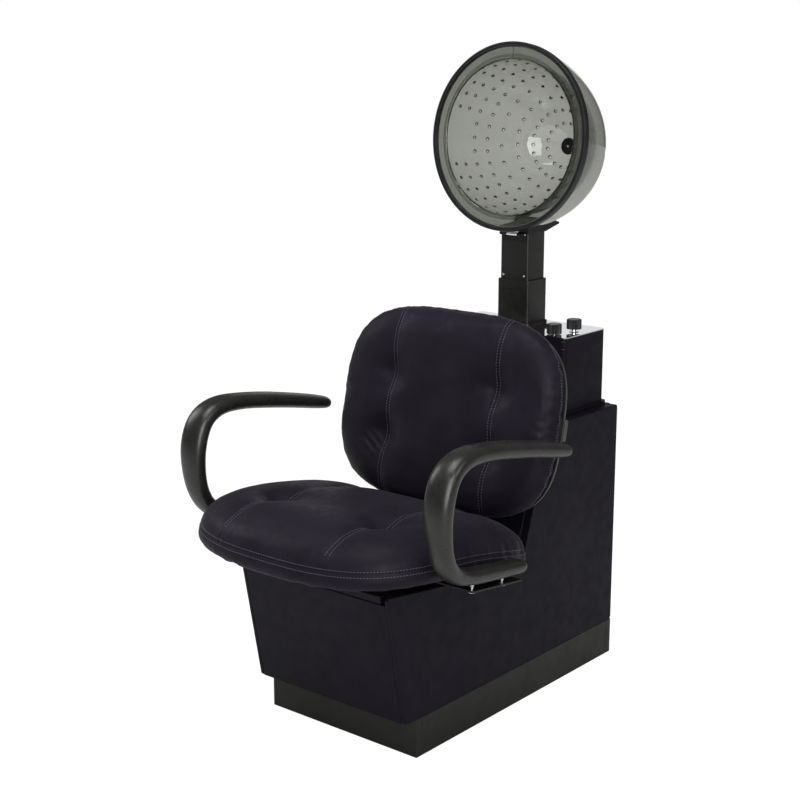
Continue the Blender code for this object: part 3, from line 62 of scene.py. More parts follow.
SEAT_DECK = 0.3363                  # seat deck's height at the cabinet's front
SEAT_RAKE = math.radians(7.2)
SEAT_FRAME = Matrix.Translation((0, CABINET_Y, SEAT_DECK)) @ Matrix.Rotation(-SEAT_RAKE, 4, "X")
SEAT_BASE = 0.0429                  # cushion's lower edge above the seat deck
BACK_SETBACK, BACK_HEIGHT = 0.294, 0.600    # back cushion's middle from front and floor
RECLINE = math.radians(12)
BACK_FRAME = (Matrix.Translation((0, CABINET_Y + BACK_SETBACK, BACK_HEIGHT))
              @ Matrix.Rotation(math.pi / 2 - RECLINE, 4, "X"))
BACK_BASE = -0.060                  # back cushion's rear edge behind its crown
HOOD_TILT = math.radians(4.9)
RIM_AHEAD, RIM_ABOVE = 0.062, 0.2012        # bonnet rim's middle from the post's top
RIM_MIDDLE = Vector((0, POST_Y - RIM_AHEAD, POST_HIGH.z + RIM_ABOVE))
HOOD_FRAME = Matrix.Translation(RIM_MIDDLE) @ Matrix.Rotation(-math.pi / 2 - HOOD_TILT, 4, "X")


# ------------------ finishes
PATTERN_SPAN = (0.35, 0.65)         # share of a pattern's range that its shades use


class Finish:
    """A Principled finish whose pattern nodes read the piece's Object coordinates."""

    def __init__(self, name, colour, roughness, metallic=0.0, specular=0.5):
        self.material = bpy.data.materials.new(name)
        self.material.use_nodes = True
        self.nodes = self.material.node_tree.nodes
        self.links = self.material.node_tree.links
        self.shader = self.nodes["Principled BSDF"]
        self.colour = colour
        self.set("Base Color", (*colour, 1))
        self.set("Roughness", roughness)
        self.set("Metallic", metallic)
        self.set("Specular IOR Level", specular)
        self.place = self.nodes.new("ShaderNodeTexCoord").outputs["Object"]
        self.bump = None

    def set(self, socket, value):
        self.shader.inputs[socket].default_value = value

    def node(self, kind, **sockets):
        """A new node with its sockets set; From_Min stands for From Min."""
        made = self.nodes.new(kind)
        for socket, value in sockets.items():
            made.inputs[socket.replace("_", " ")].default_value = value
        return made

    def grain(self, scale, detail=4.0, rough=0.5, stretch=None):
        cloud = self.node("ShaderNodeTexNoise", Scale=scale, Detail=detail, Roughness=rough)
        self.links.new(self.stretched(stretch), cloud.inputs["Vector"])
        return cloud.outputs["Fac"]

    def pebble(self, scale):
        cells = self.node("ShaderNodeTexVoronoi", Scale=scale)
        cells.feature = "DISTANCE_TO_EDGE"
        self.links.new(self.place, cells.inputs["Vector"])
        return cells.outputs["Distance"]

    def stretched(self, stretch):
        if stretch is None:
            return self.place
        mapping = self.node("ShaderNodeMapping", Scale=stretch)
        self.links.new(self.place, mapping.inputs["Vector"])
        return mapping.outputs["Vector"]

    def tint(self, value, *shares):
        """Base colour between two shares of itself as the pattern goes from dark to light."""
        ramp = self.node("ShaderNodeValToRGB")
        for element, place, share in zip(ramp.color_ramp.elements, PATTERN_SPAN, shares):
            element.position = place
            element.color = (*(part * share for part in self.colour), 1)
        self.links.new(value, ramp.inputs["Fac"])
        self.links.new(ramp.outputs["Color"], self.shader.inputs["Base Color"])

    def gloss(self, value, low, high):
        start, end = PATTERN_SPAN
        span = self.node("ShaderNodeMapRange", From_Min=start, From_Max=end, To_Min=low,
                         To_Max=high)
        self.links.new(value, span.inputs["Value"])
        self.links.new(span.outputs["Result"], self.shader.inputs["Roughness"])

    def relief(self, height, strength, depth):
        bump = self.node("ShaderNodeBump", Strength=strength, Distance=depth)
        self.links.new(height, bump.inputs["Height"])
        if self.bump:
            self.links.new(self.bump.outputs["Normal"], bump.inputs["Normal"])
        self.bump = bump
        self.links.new(bump.outputs["Normal"], self.shader.inputs["Normal"])


def upholstery_vinyl():
    finish = Finish("purple_black_vinyl", (0.0138, 0.0113, 0.0190), 0.48, specular=0.08)
    finish.tint(finish.grain(14, 3), 0.88, 1.18)
    finish.gloss(finish.grain(60, 3), 0.44, 0.56)
    finish.relief(finish.pebble(620), strength=0.25, depth=0.00012)
    finish.relief(finish.grain(1500, 2), strength=0.18, depth=0.00006)
    finish.set("Sheen Weight", 0.04)
    finish.set("Sheen Roughness", 0.4)
    return finish.material


def laminate(name, colour, specular):
    finish = Finish(name, colour, 0.46, specular=specular)
    finish.tint(finish.grain(5, 4), 0.90, 1.12)
    finish.gloss(finish.grain(40, 3), 0.42, 0.55)
    finish.relief(finish.grain(900, 3, 0.6), strength=0.14, depth=0.00008)
    return finish.material


def self_skinned_foam():
    finish = Finish("arm_urethane", (0.0172, 0.0180, 0.0160), 0.34, specular=0.45)
    finish.tint(finish.grain(22, 4), 0.86, 1.22)
    finish.gloss(finish.grain(90, 4, 0.6), 0.27, 0.40)
    finish.relief(finish.grain(700, 3, 0.6), strength=0.12, depth=0.00008)
    finish.relief(finish.grain(28, 2), strength=0.05, depth=0.0010)
    return finish.material


def moulded_plastic(name, colour, roughness=0.45, specular=0.40):
    finish = Finish(name, colour, roughness, specular=specular)
    finish.tint(finish.grain(30, 3), 0.88, 1.15)
    finish.gloss(finish.grain(120, 3), roughness - 0.05, roughness + 0.08)
    finish.relief(finish.pebble(900), strength=0.15, depth=0.00008)
    return finish.material


def enamelled_steel(name, colour, roughness=0.34):
    finish = Finish(name, colour, roughness, metallic=0.25, specular=0.45)
    finish.tint(finish.grain(9, 4), 0.90, 1.15)
    finish.gloss(finish.grain(70, 3), roughness - 0.05, roughness + 0.08)
    finish.relief(finish.grain(420, 2), strength=0.10, depth=0.00010)
    return finish.material


def bright_metal(name, colour, roughness, brushed=None):
    finish = Finish(name, colour, roughness, metallic=1.0)
    finish.tint(finish.grain(18, 3), 0.94, 1.0)
    finish.gloss(finish.grain(160, 4, 0.6, brushed), roughness * 0.7, roughness * 1.5)
    finish.relief(finish.grain(500, 3, 0.6, brushed), strength=0.05, depth=0.00004)
    return finish.material


def smoked_plastic(name, density):
    """Clear tinted plastic: light dims with the length of its way through the wall."""
    finish = Finish(name, (1, 1, 1), 0.02)
    finish.set("Transmission Weight", 1.0)
    finish.set("IOR", 1.49)
    finish.gloss(finish.grain(40, 3), 0.012, 0.035)
    finish.relief(finish.grain(9, 1), strength=0.02, depth=0.0010)
    tint = finish.node("ShaderNodeVolumeAbsorption", Density=density,
                       Color=(0.125, 0.150, 0.060, 1))
    finish.links.new(tint.outputs["Volume"], finish.nodes["Material Output"].inputs["Volume"])
    return finish.material


def black_rubber():
    finish = Finish("black_rubber", (0.0085, 0.0085, 0.0095), 0.38, specular=0.45)
    finish.tint(finish.grain(40, 3), 0.8, 1.4)
    finish.gloss(finish.grain(150, 3), 0.32, 0.46)
    finish.relief(finish.grain(800, 2), strength=0.12, depth=0.00006)
    return finish.material


def plywood():
    finish = Finish("plywood", (0.40, 0.27, 0.15), 0.65)
    finish.tint(finish.grain(14, 6, 0.6, (1, 14, 14)), 0.7, 1.0)
    finish.relief(finish.grain(90, 3, 0.5, (1, 12, 12)), strength=0.2, depth=0.0002)
    return finish.material


def mica_board():
    finish = Finish("mica_board", (0.42, 0.36, 0.24), 0.5)
    finish.tint(finish.grain(160, 4), 0.75, 1.0)
    finish.relief(finish.pebble(300), strength=0.2, depth=0.0002)
    return finish.material


def thread():
    finish = Finish("seam_thread", (0.125, 0.113, 0.155), 0.55, specular=0.35)
    finish.tint(finish.grain(700, 2), 0.75, 1.2)
    finish.relief(finish.grain(2400, 2), strength=0.3, depth=0.00005)
    return finish.material


VINYL = upholstery_vinyl()
LAMINATE = laminate("purple_black_laminate", (0.0088, 0.0070, 0.0136), 0.08)
PLINTH = laminate("grey_green_laminate", (0.0240, 0.0245, 0.0215), 0.20)
URETHANE = self_skinned_foam()
SHELL = moulded_plastic("grey_shell", (0.0580, 0.0605, 0.0530))
ENAMEL = enamelled_steel("post_enamel", (0.0165, 0.0172, 0.0152))
BLACK_STEEL = enamelled_steel("black_enamel", (0.0080, 0.0080, 0.0085), 0.38)
CHROME = bright_metal("chrome_plate", (0.86, 0.87, 0.89), 0.06)
ZINC = bright_metal("zinc_plate", (0.66, 0.66, 0.64), 0.26)
ALLOY = bright_metal("cast_alloy", (0.60, 0.61, 0.61), 0.34, (1, 1, 8))
SMOKED = smoked_plastic("smoked_outer", 200)
SMOKED_INNER = smoked_plastic("smoked_inner", 240)
SMOKED_BAND = smoked_plastic("smoked_band", 340)
# The air-hole lips' near-black colour is painted shade, standing for the dark crescent in each
# hole's wall.
PAINTED_SHADE_LIP = moulded_plastic("air_hole_shade_lip", (0.0060, 0.0065, 0.0060), 0.10, 1.0)
RUBBER = black_rubber()
KNOB = moulded_plastic("knob_black", (0.0120, 0.0120, 0.0120), 0.40)
KNOB_DISC = moulded_plastic("knob_disc_grey", (0.050, 0.052, 0.054), 0.36)
PLYWOOD = plywood()
MICA = mica_board()
THREAD = thread()


# ------------------ making pieces
JOINED = 0.00002                    # points closer than this are one


def mesh_of(bm, name):
    """Write a bmesh out as a mesh, and let it go."""
    data = bpy.data.meshes.new(name)
    bm.to_mesh(data)
    bm.free()
    return data


def placed(name, data):
    """A new object in the scene, at the origin."""
    thing = bpy.data.objects.new(name, data)
    bpy.context.scene.collection.objects.link(thing)
    return thing


def smoothed(mesh, sharp):
    mesh.shade_smooth()
    mesh.set_sharp_from_angle(angle=math.radians(sharp))


def subdivided(piece, levels):
    refine = piece.modifiers.new("refine", "SUBSURF")
    refine.levels = levels
    refine.render_levels = levels


def shown(bm, name, finish, body, place=None, stands_for=(), sharp=40,
          levels=0):
    """Turn a bmesh into a finished piece that rides on a body, its place in its mesh."""
    if place is not None:
        bmesh.ops.transform(bm, matrix=place, verts=bm.verts)
    piece = placed(name, mesh_of(bm, name))
    piece.data.materials.append(finish)
    smoothed(piece.data, sharp)
    if levels:
        subdivided(piece, levels)
    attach(piece, body)
    if stands_for:
        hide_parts(*stands_for)
    return piece


def closed_outwards(bm):
    bmesh.ops.remove_doubles(bm, verts=bm.verts, dist=JOINED)
    bmesh.ops.recalc_face_normals(bm, faces=bm.faces)


def leaned(bm, lean):
    """Lean a shape towards +Y by its height."""
    for vert in bm.verts:
        vert.co.y += lean * max(0.0, vert.co.z)


def spun(profile, steps, lean=0.0):
    """Turn a profile of (radius, height) about Z, leaning it towards +Y by its height."""
    bm = bmesh.new()
    closed = profile[0] == profile[-1]
    points = profile[:-1] if closed else profile
    rim = [bm.verts.new((radius, 0, height)) for radius, height in points]
    pairs = zip(rim, rim[1:] + (rim[:1] if closed else []))
    edges = [bm.edges.new(pair) for pair in pairs]
    bmesh.ops.spin(bm, geom=rim + edges, cent=(0, 0, 0), axis=(0, 0, 1), angle=2 * math.pi,
                   steps=steps, use_merge=True)
    closed_outwards(bm)
    leaned(bm, lean)
    return bm


def rounded(bm, edges, offset, segments):
    bmesh.ops.bevel(bm, geom=edges, offset=offset, segments=segments, profile=0.5,
                    affect="EDGES", material=-1)


def caps_of(bm):
    return [f for f in bm.faces if abs(f.normal.z) > 0.9]


def eased_block(low, high, corner, segments=8, rim=0.0):
    """A block with its upright corners rounded, and its top and bottom rims if asked."""
    low, high = Vector(low), Vector(high)
    bm = bmesh.new()
    bmesh.ops.create_cube(bm, size=1.0)
    bmesh.ops.scale(bm, vec=high - low, verts=bm.verts)
    upright = [e for e in bm.edges if abs(e.verts[0].co.z - e.verts[1].co.z) > 0.0001]
    rounded(bm, upright, corner, segments)
    if rim:
        rounded(bm, list({e for f in caps_of(bm) for e in f.edges}), rim, 3)
    bmesh.ops.translate(bm, vec=(low + high) / 2, verts=bm.verts)
    return bm


def square_tube(low, high, corner, wall, segments=8):
    """An upright tube with rounded corners, open at both ends."""
    bm = eased_block(low, high, corner, segments)
    bmesh.ops.delete(bm, geom=caps_of(bm), context="FACES")
    bmesh.ops.solidify(bm, geom=bm.faces[:], thickness=wall)
    return bm


def grown_from(bm, edges):
    """Extrude a row of edges on the spot, for its new vertices and edges to be moved."""
    grown = bmesh.ops.extrude_edge_only(bm, edges=edges)["geom"]
    return ([g for g in grown if isinstance(g, bmesh.types.BMVert)],
            [g for g in grown if isinstance(g, bmesh.types.BMEdge)])


def lay(bm, model, place):
    """Add a copy of a small mesh to a bmesh, carried to its place."""
    laid = model.copy()
    laid.transform(place)
    bm.from_mesh(laid)
    bpy.data.meshes.remove(laid)


def soft_step(value, start, end):
    share = np.clip((value - start) / (end - start), 0, 1)
    return share * share * (3 - 2 * share)


def squared(across, along, power):
    """How far out a point lies, in a shape between an oval, 2, and a rectangle."""
    return (abs(across) ** power + abs(along) ** power) ** (1 / power)


def bell(value, half):
    """One at nought, falling away smoothly on both sides."""
    return np.exp(-(value / half) ** 2)


# ------------------ cushions
SEAM_PRESS, SEAM_HALF = 0.0014, 0.0020      # sewn channels across the top
RIM_PRESS, RIM_HALF = 0.0017, 0.0022        # sewn border round the side
GATHER_PRESS, GATHER_HALF = 0.0030, 0.020   # small puckers beside the border
SLACK_PRESS = 0.0016                # loose cover between the seams
TUFT_FADE, TUFT_FOLD = 0.034, 0.0007        # reach of a tuft's pull, folds round it
SEAM_ROWS = (-0.0041, 0.0041)       # stitch rows beside a channel
BORDER_ROWS = (0.0042, -0.0056)     # stitch rows above and below the border
STITCH_LONG, STITCH_PITCH, STITCH_HALF, STITCH_PROUD = 0.0046, 0.0060, 0.00068, 0.00012
PRESSURE, CLOTH_FRAMES = 4.0, 20


class Pad:
    """Sizes of one sewn cushion, in the frame of the board behind it."""

    def __init__(self, **sizes):
        vars(self).update(sizes)

    def ends(self, y):
        """Shares of the way from the pad's middle to its front and to its rear."""
        return ((self.mid_y - y) / (self.mid_y - self.low_y),
                (y - self.mid_y) / (self.high_y - self.mid_y))

    def sag(self, y):
        front, rear = (np.clip(share, 0, 1.1) for share in self.ends(y))
        return -self.nose * front ** 2.2 - self.tail * rear ** 2

    def reach(self, x, y):
        """Share of the way from the middle of the pad to its edge."""
        front, rear = (squared(x / self.half_x, np.clip(share, 0, None), power)
                       for share, power in zip(self.ends(y), self.powers))
        return np.where(y > self.mid_y, rear, front)


def seat_creases(x, y):
    """The broad valley that the seat's tufts draw across it from side to side."""
    return 0.0060 * bell(y + 0.040, 0.045) * soft_step(-np.abs(x), -0.23, -0.13)


def back_creases(x, y):
    """Slanting slack folds beside the lower left tuft of the back."""
    across, along = x + 0.165, y + 0.095
    slanted = across * 0.64 + along * 0.77
    return 0.0016 * np.cos(slanted / 0.0024) * bell(across, 0.026) * bell(along, 0.024)


SEAT_PAD = Pad(place=SEAT_FRAME @ Matrix.Translation((0, 0, SEAT_BASE)),
               half_x=0.280, low_y=-0.216, mid_y=0.020, high_y=0.310, powers=(2.9, 4.7),
               border=0.035, seam_x=0.130, tufts=(-0.045,), nose=0.025, tail=0.030,
               pull=0.0085, creases=seat_creases, ease=(0.007, -0.002, 0.0))
BACK_PAD = Pad(place=BACK_FRAME @ Matrix.Translation((0, 0, BACK_BASE)),
               half_x=0.270, low_y=-0.203, mid_y=0.0, high_y=0.203, powers=(3.3, 3.3),
               border=0.014, seam_x=0.132, tufts=(-0.068, 0.060), nose=0.0, tail=0.0,
               pull=0.0078, creases=back_creases, ease=(0.0055, 0.0068, 0.002))


def per_vertex(mesh, attribute):
    values = np.empty(len(mesh.vertices) * 3)
    mesh.vertices.foreach_get(attribute, values)
    return values.reshape(-1, 3)


def moved_to(mesh, points):
    mesh.vertices.foreach_set("co", points.astype(np.float32).ravel())
    mesh.update()


def settle(piece):
    """Apply the piece's modifiers to its mesh."""
    graph = bpy.context.evaluated_depsgraph_get()
    mesh = bpy.data.meshes.new_from_object(piece.evaluated_get(graph))
    piece.modifiers.clear()
    old = piece.data
    piece.data = mesh
    bpy.data.meshes.remove(old)


def pad_blank(name, node, pad, voxel):
    """Even skin over a cushion's solid, in the pad's own frame."""
    bm = bmesh.new()
    bm.from_mesh(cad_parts[node].data)
    bmesh.ops.remove_doubles(bm, verts=bm.verts, dist=JOINED)
    bmesh.ops.transform(bm, matrix=pad.place.inverted(), verts=bm.verts)
    piece = placed(name, mesh_of(bm, name))
    skin = piece.modifiers.new("skin", "REMESH")
    skin.mode = "VOXEL"
    skin.voxel_size = voxel
    settle(piece)
    relax = piece.modifiers.new("relax", "CORRECTIVE_SMOOTH")
    relax.iterations = 6
    relax.rest_source = "ORCO"
    relax.use_only_smooth = True
    settle(piece)
    return piece


def blow_up(piece, cap, side_share):
    """Swell the skin with cloth under pressure, its back and its sides held in."""
    rest = per_vertex(piece.data, "co")
    cloth = piece.modifiers.new("cloth", "CLOTH")
    cover = cloth.settings
    cover.use_pressure = True
    cover.uniform_pressure_force = PRESSURE
    cover.effector_weights.gravity = 0
    cover.tension_stiffness = 20
    cover.compression_stiffness = 20
    cover.bending_stiffness = 2
    cover.quality = 4
    cloth.collision_settings.use_collision = False
    cloth.point_cache.frame_start = 1
    cloth.point_cache.frame_end = CLOTH_FRAMES
    for number in range(1, CLOTH_FRAMES + 1):
        bpy.context.scene.frame_set(number)
    settle(piece)
    bpy.context.scene.frame_set(1)
    swell = per_vertex(piece.data, "co") - rest
    length = np.linalg.norm(swell, axis=1, keepdims=True)
    swell *= np.minimum(1, cap / np.maximum(length, 1e-9))
    swell[:, 0] *= side_share
    swell *= soft_step(rest[:, 2:3], 0.006, 0.030)
    moved_to(piece.data, rest + swell)


def waviness(points, scale, seed):
    return np.array([noise.noise(Vector((x * scale + seed, y * scale, z * scale)))
                     for x, y, z in points])


def fuller(x, y, left, high, low):
    """Ease a pad's outline out at its left side, and out or in at its far edge."""
    return (x - left * soft_step(-x, 0.02, 0.27), y + high * soft_step(y, 0.02, 0.20)
            - low * soft_step(-y, 0.02, 0.20))


def tuft_pull(pad, x, y, spot):
    """Depth of the hollow, and of the folds round it, that one pair of tufts draws in."""
    across, along = np.abs(x) - pad.seam_x, y - spot
    away = np.sqrt((across / 0.9) ** 2 + along ** 2 + 0.0060 ** 2)
    folds = np.cos(4 * np.arctan2(along, across) + 0.9 * np.sign(x))
    return (pad.pull * np.exp(-away / TUFT_FADE)
            + TUFT_FOLD * folds * bell(away - TUFT_FADE, 0.018))


def sew(piece, pad, gathers):
    """Press the seams, tuft pulls, gathers and slack of a sewn cover into the skin."""
    mesh = piece.data
    points, normals = per_vertex(mesh, "co"), per_vertex(mesh, "normal")
    points[:, 0], points[:, 1] = fuller(points[:, 0], points[:, 1], *pad.ease)
    x, y, z = points.T
    height = z - pad.sag(y)
    rim = height - pad.border
    top = soft_step(normals[:, 2], 0.15, 0.5)
    side = soft_step(pad.reach(x, y), 0.90, 0.97)
    inward = SEAM_PRESS * bell(np.abs(x) - pad.seam_x, SEAM_HALF) * np.maximum(top, side)
    inward *= height > pad.border * 0.9
    inward += RIM_PRESS * bell(rim, RIM_HALF) * side
    around = np.arctan2((y - pad.mid_y) / 0.25, x / 0.28) * 0.27
    ripple = waviness(np.column_stack((around, around * 0, rim * 0.35)), 62, 3.1)
    pulled = bell(np.abs(rim) - 0.004, GATHER_HALF) * side
    inward += GATHER_PRESS * ripple * pulled * gathers(x, y)
    inward += SLACK_PRESS * waviness(points, 9, 11.4) * top * (1 - side)
    for spot in pad.tufts:
        inward += tuft_pull(pad, x, y, spot) * top
    inward += pad.creases(x, y) * top
    moved_to(mesh, points - normals * inward[:, None])


def seam_line(tree, pad, x):
    """Points and normals over the pad in the plane of one channel, front rim to rear."""
    line = []
    middle, span = (pad.low_y + pad.high_y) / 2, (pad.high_y - pad.low_y) / 2
    for step in range(361):
        turn = math.pi * step / 360
        out = Vector((0, -math.cos(turn), math.sin(turn)))
        aim = Vector((x, middle - 0.85 * span * math.cos(turn), pad.border + 0.006))
        place, normal, _, _ = tree.ray_cast(aim + out * 0.3, -out)
        if place and place.z - pad.sag(place.y) > pad.border + 0.003:
            line.append((place, normal))
    return line


def rim_line(tree, pad, height):
    """Points and normals round the pad's border at one height above its lower edge."""
    line = []
    for step in range(721):
        turn = -math.pi + 2 * math.pi * step / 720
        along = Vector((math.cos(turn), math.sin(turn), 0))
        guess = pad.mid_y + math.sin(turn) * 0.24
        origin = Vector((0, pad.mid_y, height + float(pad.sag(guess))))
        place, normal, _, _ = tree.ray_cast(origin, along)
        if place:
            origin.z = height + float(pad.sag(place.y))
            place, normal, _, _ = tree.ray_cast(origin, along)
        if place:
            line.append((place, normal))
    return line


def thread_bead():
    """One small rounded stitch, a unit long and wide, to be laid along a seam."""
    bm = bmesh.new()
    bmesh.ops.create_icosphere(bm, subdivisions=1, radius=1.0)
    return mesh_of(bm, "thread_bead")


def stitches(bm, bead, line):
    """Lay one small thread bead after another along a line over the cover."""
    size = Matrix.Diagonal((STITCH_LONG / 2, STITCH_HALF, STITCH_HALF * 0.8, 1))
    travelled, due = 0.0, 0.0
    for (start, normal), (end, _) in zip(line, line[1:]):
        step = (end - start).length
        if step > 0.02 or step < 1e-7:
            continue
        along = (end - start).normalized()
        across = along.cross(normal).normalized()
        up = across.cross(along)
        axes = Matrix((along, across, up)).transposed().to_4x4()
        while due <= travelled + step:
            place = start.lerp(end, (due - travelled) / step) + up * STITCH_PROUD
            lay(bm, bead, Matrix.Translation(place) @ axes @ size)
            due += STITCH_PITCH
        travelled += step


def cushion(name, node, pad, voxel, cap, side_share, gathers):
    piece = pad_blank(name, node, pad, voxel)
    blow_up(piece, cap, side_share)
    subdivided(piece, 1)
    settle(piece)
    sew(piece, pad, gathers)
    piece.data.materials.clear()
    piece.data.materials.append(VINYL)
    piece.data.shade_smooth()
    tree = BVHTree.FromPolygons([v.co for v in piece.data.vertices],
                                [p.vertices for p in piece.data.polygons])
    bm = bmesh.new()
    bead = thread_bead()
    for side in (-1, 1):
        for offset in SEAM_ROWS:
            stitches(bm, bead, seam_line(tree, pad, side * pad.seam_x + offset))
    for rise in BORDER_ROWS:
        stitches(bm, bead, rim_line(tree, pad, pad.border + rise))
    piece.data.transform(pad.place)
    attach(piece, "base")
    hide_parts(node)
    shown(bm, name + "_stitching", THREAD, "base", pad.place, sharp=60)


def seat_gathers(x, y):
    return 0.06 + 0.94 * soft_step(y, -0.02, 0.16) + 0.30 * soft_step(x + y, 0.10, 0.16)


def back_gathers(x, y):
    return 0.30 + 0.85 * soft_step(np.abs(x), 0.19, 0.25)


# ------------------ arms
ARM_X = 0.311
ARM_WIDTH, ARM_THICK = 0.052, 0.035
ARM_FRONT, ARM_REACH = -0.090, 0.378
ARM_FOOT, ARM_RISE = 0.3712, 0.2488
ARM_STATIONS = (
    # share of the reach, share of the rise, sideways share of the width, width, thickness
    (1.0000, 0.8060, 0.000, 0.90, 0.78),
    (0.8995, 0.8410, 0.000, 0.96, 0.88),
    (0.7407, 0.8935, 0.000, 0.98, 0.92),
    (0.5423, 0.9518, 0.000, 1.00, 0.96),
    (0.3439, 0.9960, 0.000, 1.00, 0.96),
    (0.1746, 1.0000, 0.000, 1.04, 1.06),
    (0.0582, 0.9136, 0.000, 1.12, 1.12),
    (0.0040, 0.7267, 0.000, 1.14, 1.12),
    (0.0000, 0.5177, -0.004, 1.06, 1.02),
    (0.0291, 0.3248, -0.023, 0.96, 0.96),
    (0.0952, 0.1841, -0.058, 0.88, 0.94),
    (0.2063, 0.1037, -0.077, 0.84, 0.92),
    (0.3704, 0.0615, -0.087, 0.82, 0.90),
    (0.5291, 0.0273, -0.096, 0.80, 0.86),
    (0.6614, 0.0000, -0.115, 0.74, 0.76),
)
SECTIONS_PER_SPAN, SECTION_POINTS = 3, 20
SECTION_POWER = 2.5                 # 2 is an oval section, more is squarer
TANGENT_STEP = 0.02
ARM_END_TURNS = (0.40, 0.72, 0.93)  # sections that round off each end
ARM_SEAT = 0.0332                   # plane that the arm's foot stands on, over the deck


def between(values, position):
    """Catmull-Rom reading of evenly numbered values."""
    index = min(int(position), len(values) - 2)
    share = position - index
    a = values[max(index - 1, 0)]
    b, c = values[index], values[index + 1]
    d = values[min(index + 2, len(values) - 1)]
    return 0.5 * (2 * b + (c - a) * share + (2 * a - 5 * b + 4 * c - d) * share ** 2
                  + (3 * b - a - 3 * c + d) * share ** 3)


def arm_middle(columns, position):
    return Vector((0, ARM_FRONT + ARM_REACH * between(columns[0], position),
                   ARM_FOOT + ARM_RISE * between(columns[1], position)))


def arm_sections():
    """Middle, direction, half width and half thickness of the arm, end to end."""
    columns = list(zip(*ARM_STATIONS))
    spans = len(ARM_STATIONS) - 1
    sections = []
    for index in range(spans * SECTIONS_PER_SPAN + 1):
        position = index / SECTIONS_PER_SPAN
        shift, wide, thick = (between(column, position) for column in columns[2:])
        low, high = max(position - TANGENT_STEP, 0), min(position + TANGENT_STEP, spans)
        along = arm_middle(columns, high) - arm_middle(columns, low)
        middle = arm_middle(columns, position) + Vector((shift * ARM_WIDTH, 0, 0))
        sections.append((middle, along.normalized(), wide * ARM_WIDTH / 2,
                         thick * ARM_THICK / 2))
    for end, sign in ((0, -1), (-1, 1)):
        centre, along, wide, thick = sections[end]
        for turn in ARM_END_TURNS:
            shrink = math.sqrt(1 - turn ** 2)
            section = (centre + along * sign * turn * thick, along,
                       wide - thick * (1 - shrink), thick * shrink)
            sections.insert(0 if end == 0 else len(sections), section)
    return sections


def shape_ring(ring, section, side):
    """Carry a ring of vertices to one section of the arm."""
    centre, along, wide, thick = section
    normal = Vector((0, -along.z, along.y))
    for index, vert in enumerate(ring):
        turn = 2 * math.pi * index / len(ring)
        across, out = math.cos(turn), math.sin(turn)
        reach = squared(across, out, SECTION_POWER)
        point = centre + normal * (thick * out / reach)
        vert.co = (side * (ARM_X + point.x) + wide * across / reach, CABINET_Y + point.y,
                   point.z)


def arm(label, side):
    """Loft the moulded arm by extruding one ring from section to section."""
    bm = bmesh.new()
    made = bmesh.ops.create_circle(bm, cap_ends=False, segments=SECTION_POINTS, radius=1.0)
    first = ring = made["verts"]
    sections = arm_sections()
    shape_ring(ring, sections[0], side)
    for section in sections[1:]:
        edges = [e for e in bm.edges if e.verts[0] in ring and e.verts[1] in ring]
        fresh, _ = grown_from(bm, edges)
        partner = {}
        for edge in bm.edges:
            a, b = edge.verts
            if a in ring and b in fresh:
                partner[a] = b
            elif b in ring and a in fresh:
                partner[b] = a
        ring = [partner[vert] for vert in ring]
        shape_ring(ring, section, side)
    bmesh.ops.contextual_create(bm, geom=first)
    bmesh.ops.contextual_create(bm, geom=ring)
    closed_outwards(bm)
    cut = bmesh.ops.bisect_plane(bm, geom=bm.verts[:] + bm.edges[:] + bm.faces[:],
                                 plane_co=SEAT_FRAME @ Vector((0, 0, ARM_SEAT)),
                                 plane_no=SEAT_FRAME.to_3x3() @ Vector((0, 0, 1)),
                                 clear_inner=True)
    rim = [g for g in cut["geom_cut"] if isinstance(g, bmesh.types.BMEdge)]
    bmesh.ops.contextual_create(bm, geom=rim)
    shown(bm, "moulded_arm_" + label, URETHANE, "base", None, ("arm_" + label,),
          50, 1)


# ------------------ hood
RIM_RADIUS, OUTER_DEPTH, OUTER_WALL, OUTER_DIP = 0.1912, 0.244, 0.003, 0.080
INNER_RADIUS, INNER_DEPTH, INNER_WALL, INNER_DIP = 0.1613, 0.233, 0.0024, 0.045
INNER_FLANGE = 0.009                # inner bonnet's brim beyond its mouth
DOME_POWER, DOME_STEPS = 1.9, 36
BAND_EDGE, BAND_THICK = 0.1841, 0.003
RING_THICK = 0.0033                 # band's thickness and its clearance
AIR_RINGS = (
    # share of the way from crown to rim, holes, first hole's bearing, half angle left clear
    (0.205, 16, 169, 0),
    (0.320, 24, 178, 0),
    (0.437, 22, 177, 0),
    (0.552, 21, 174, 0),
    (0.657, 32, 180, 0),
    (0.755, 32, 180, 0),
    (0.847, 32, 180, 20),
    (0.931, 32, 180, 20),
)
AIR_HOLE = 0.0027
LIP_HOLE, LIP_EDGE = AIR_HOLE - 0.0004, AIR_HOLE + 0.0013
# The lips' thick dark sides, up and to the left of each hole, are painted shade.
LIP_SHIFT = 0.0009                  # how much further the lip's thick side reaches
LIP_SHADE_SIDE = Vector((-0.75, -0.65, 0))        # towards the lips' thick sides


def dome_point(turn, radius, depth):
    """Radius and height of a dome at one turn from its rim, 0, to its crown, a quarter."""
    return (radius * max(0.0, math.cos(turn)) ** (2 / DOME_POWER),
            depth * math.sin(turn) ** (2 / DOME_POWER))


def dome_profile(radius, depth, start=0.0):
    profile = []
    for step in range(DOME_STEPS + 1):
        across, rise = dome_point(math.pi / 2 * step / DOME_STEPS, radius, depth)
        profile.append((0.0 if step == DOME_STEPS else across, start + rise))
    return profile


def walled_profile(outer, wall):
    """Close a dome's profile with a second line inside it."""
    inner = []
    for index, (radius, height) in enumerate(outer):
        before = outer[max(index - 1, 0)]
        after = outer[min(index + 1, len(outer) - 1)]
        along = Vector((after[0] - before[0], after[1] - before[1])).normalized()
        inner.append((max(0.0, radius - along.y * wall), height + along.x * wall))
    inner[-1] = (0.0, outer[-1][1] - wall)
    return outer + list(reversed(inner)) + outer[:1]


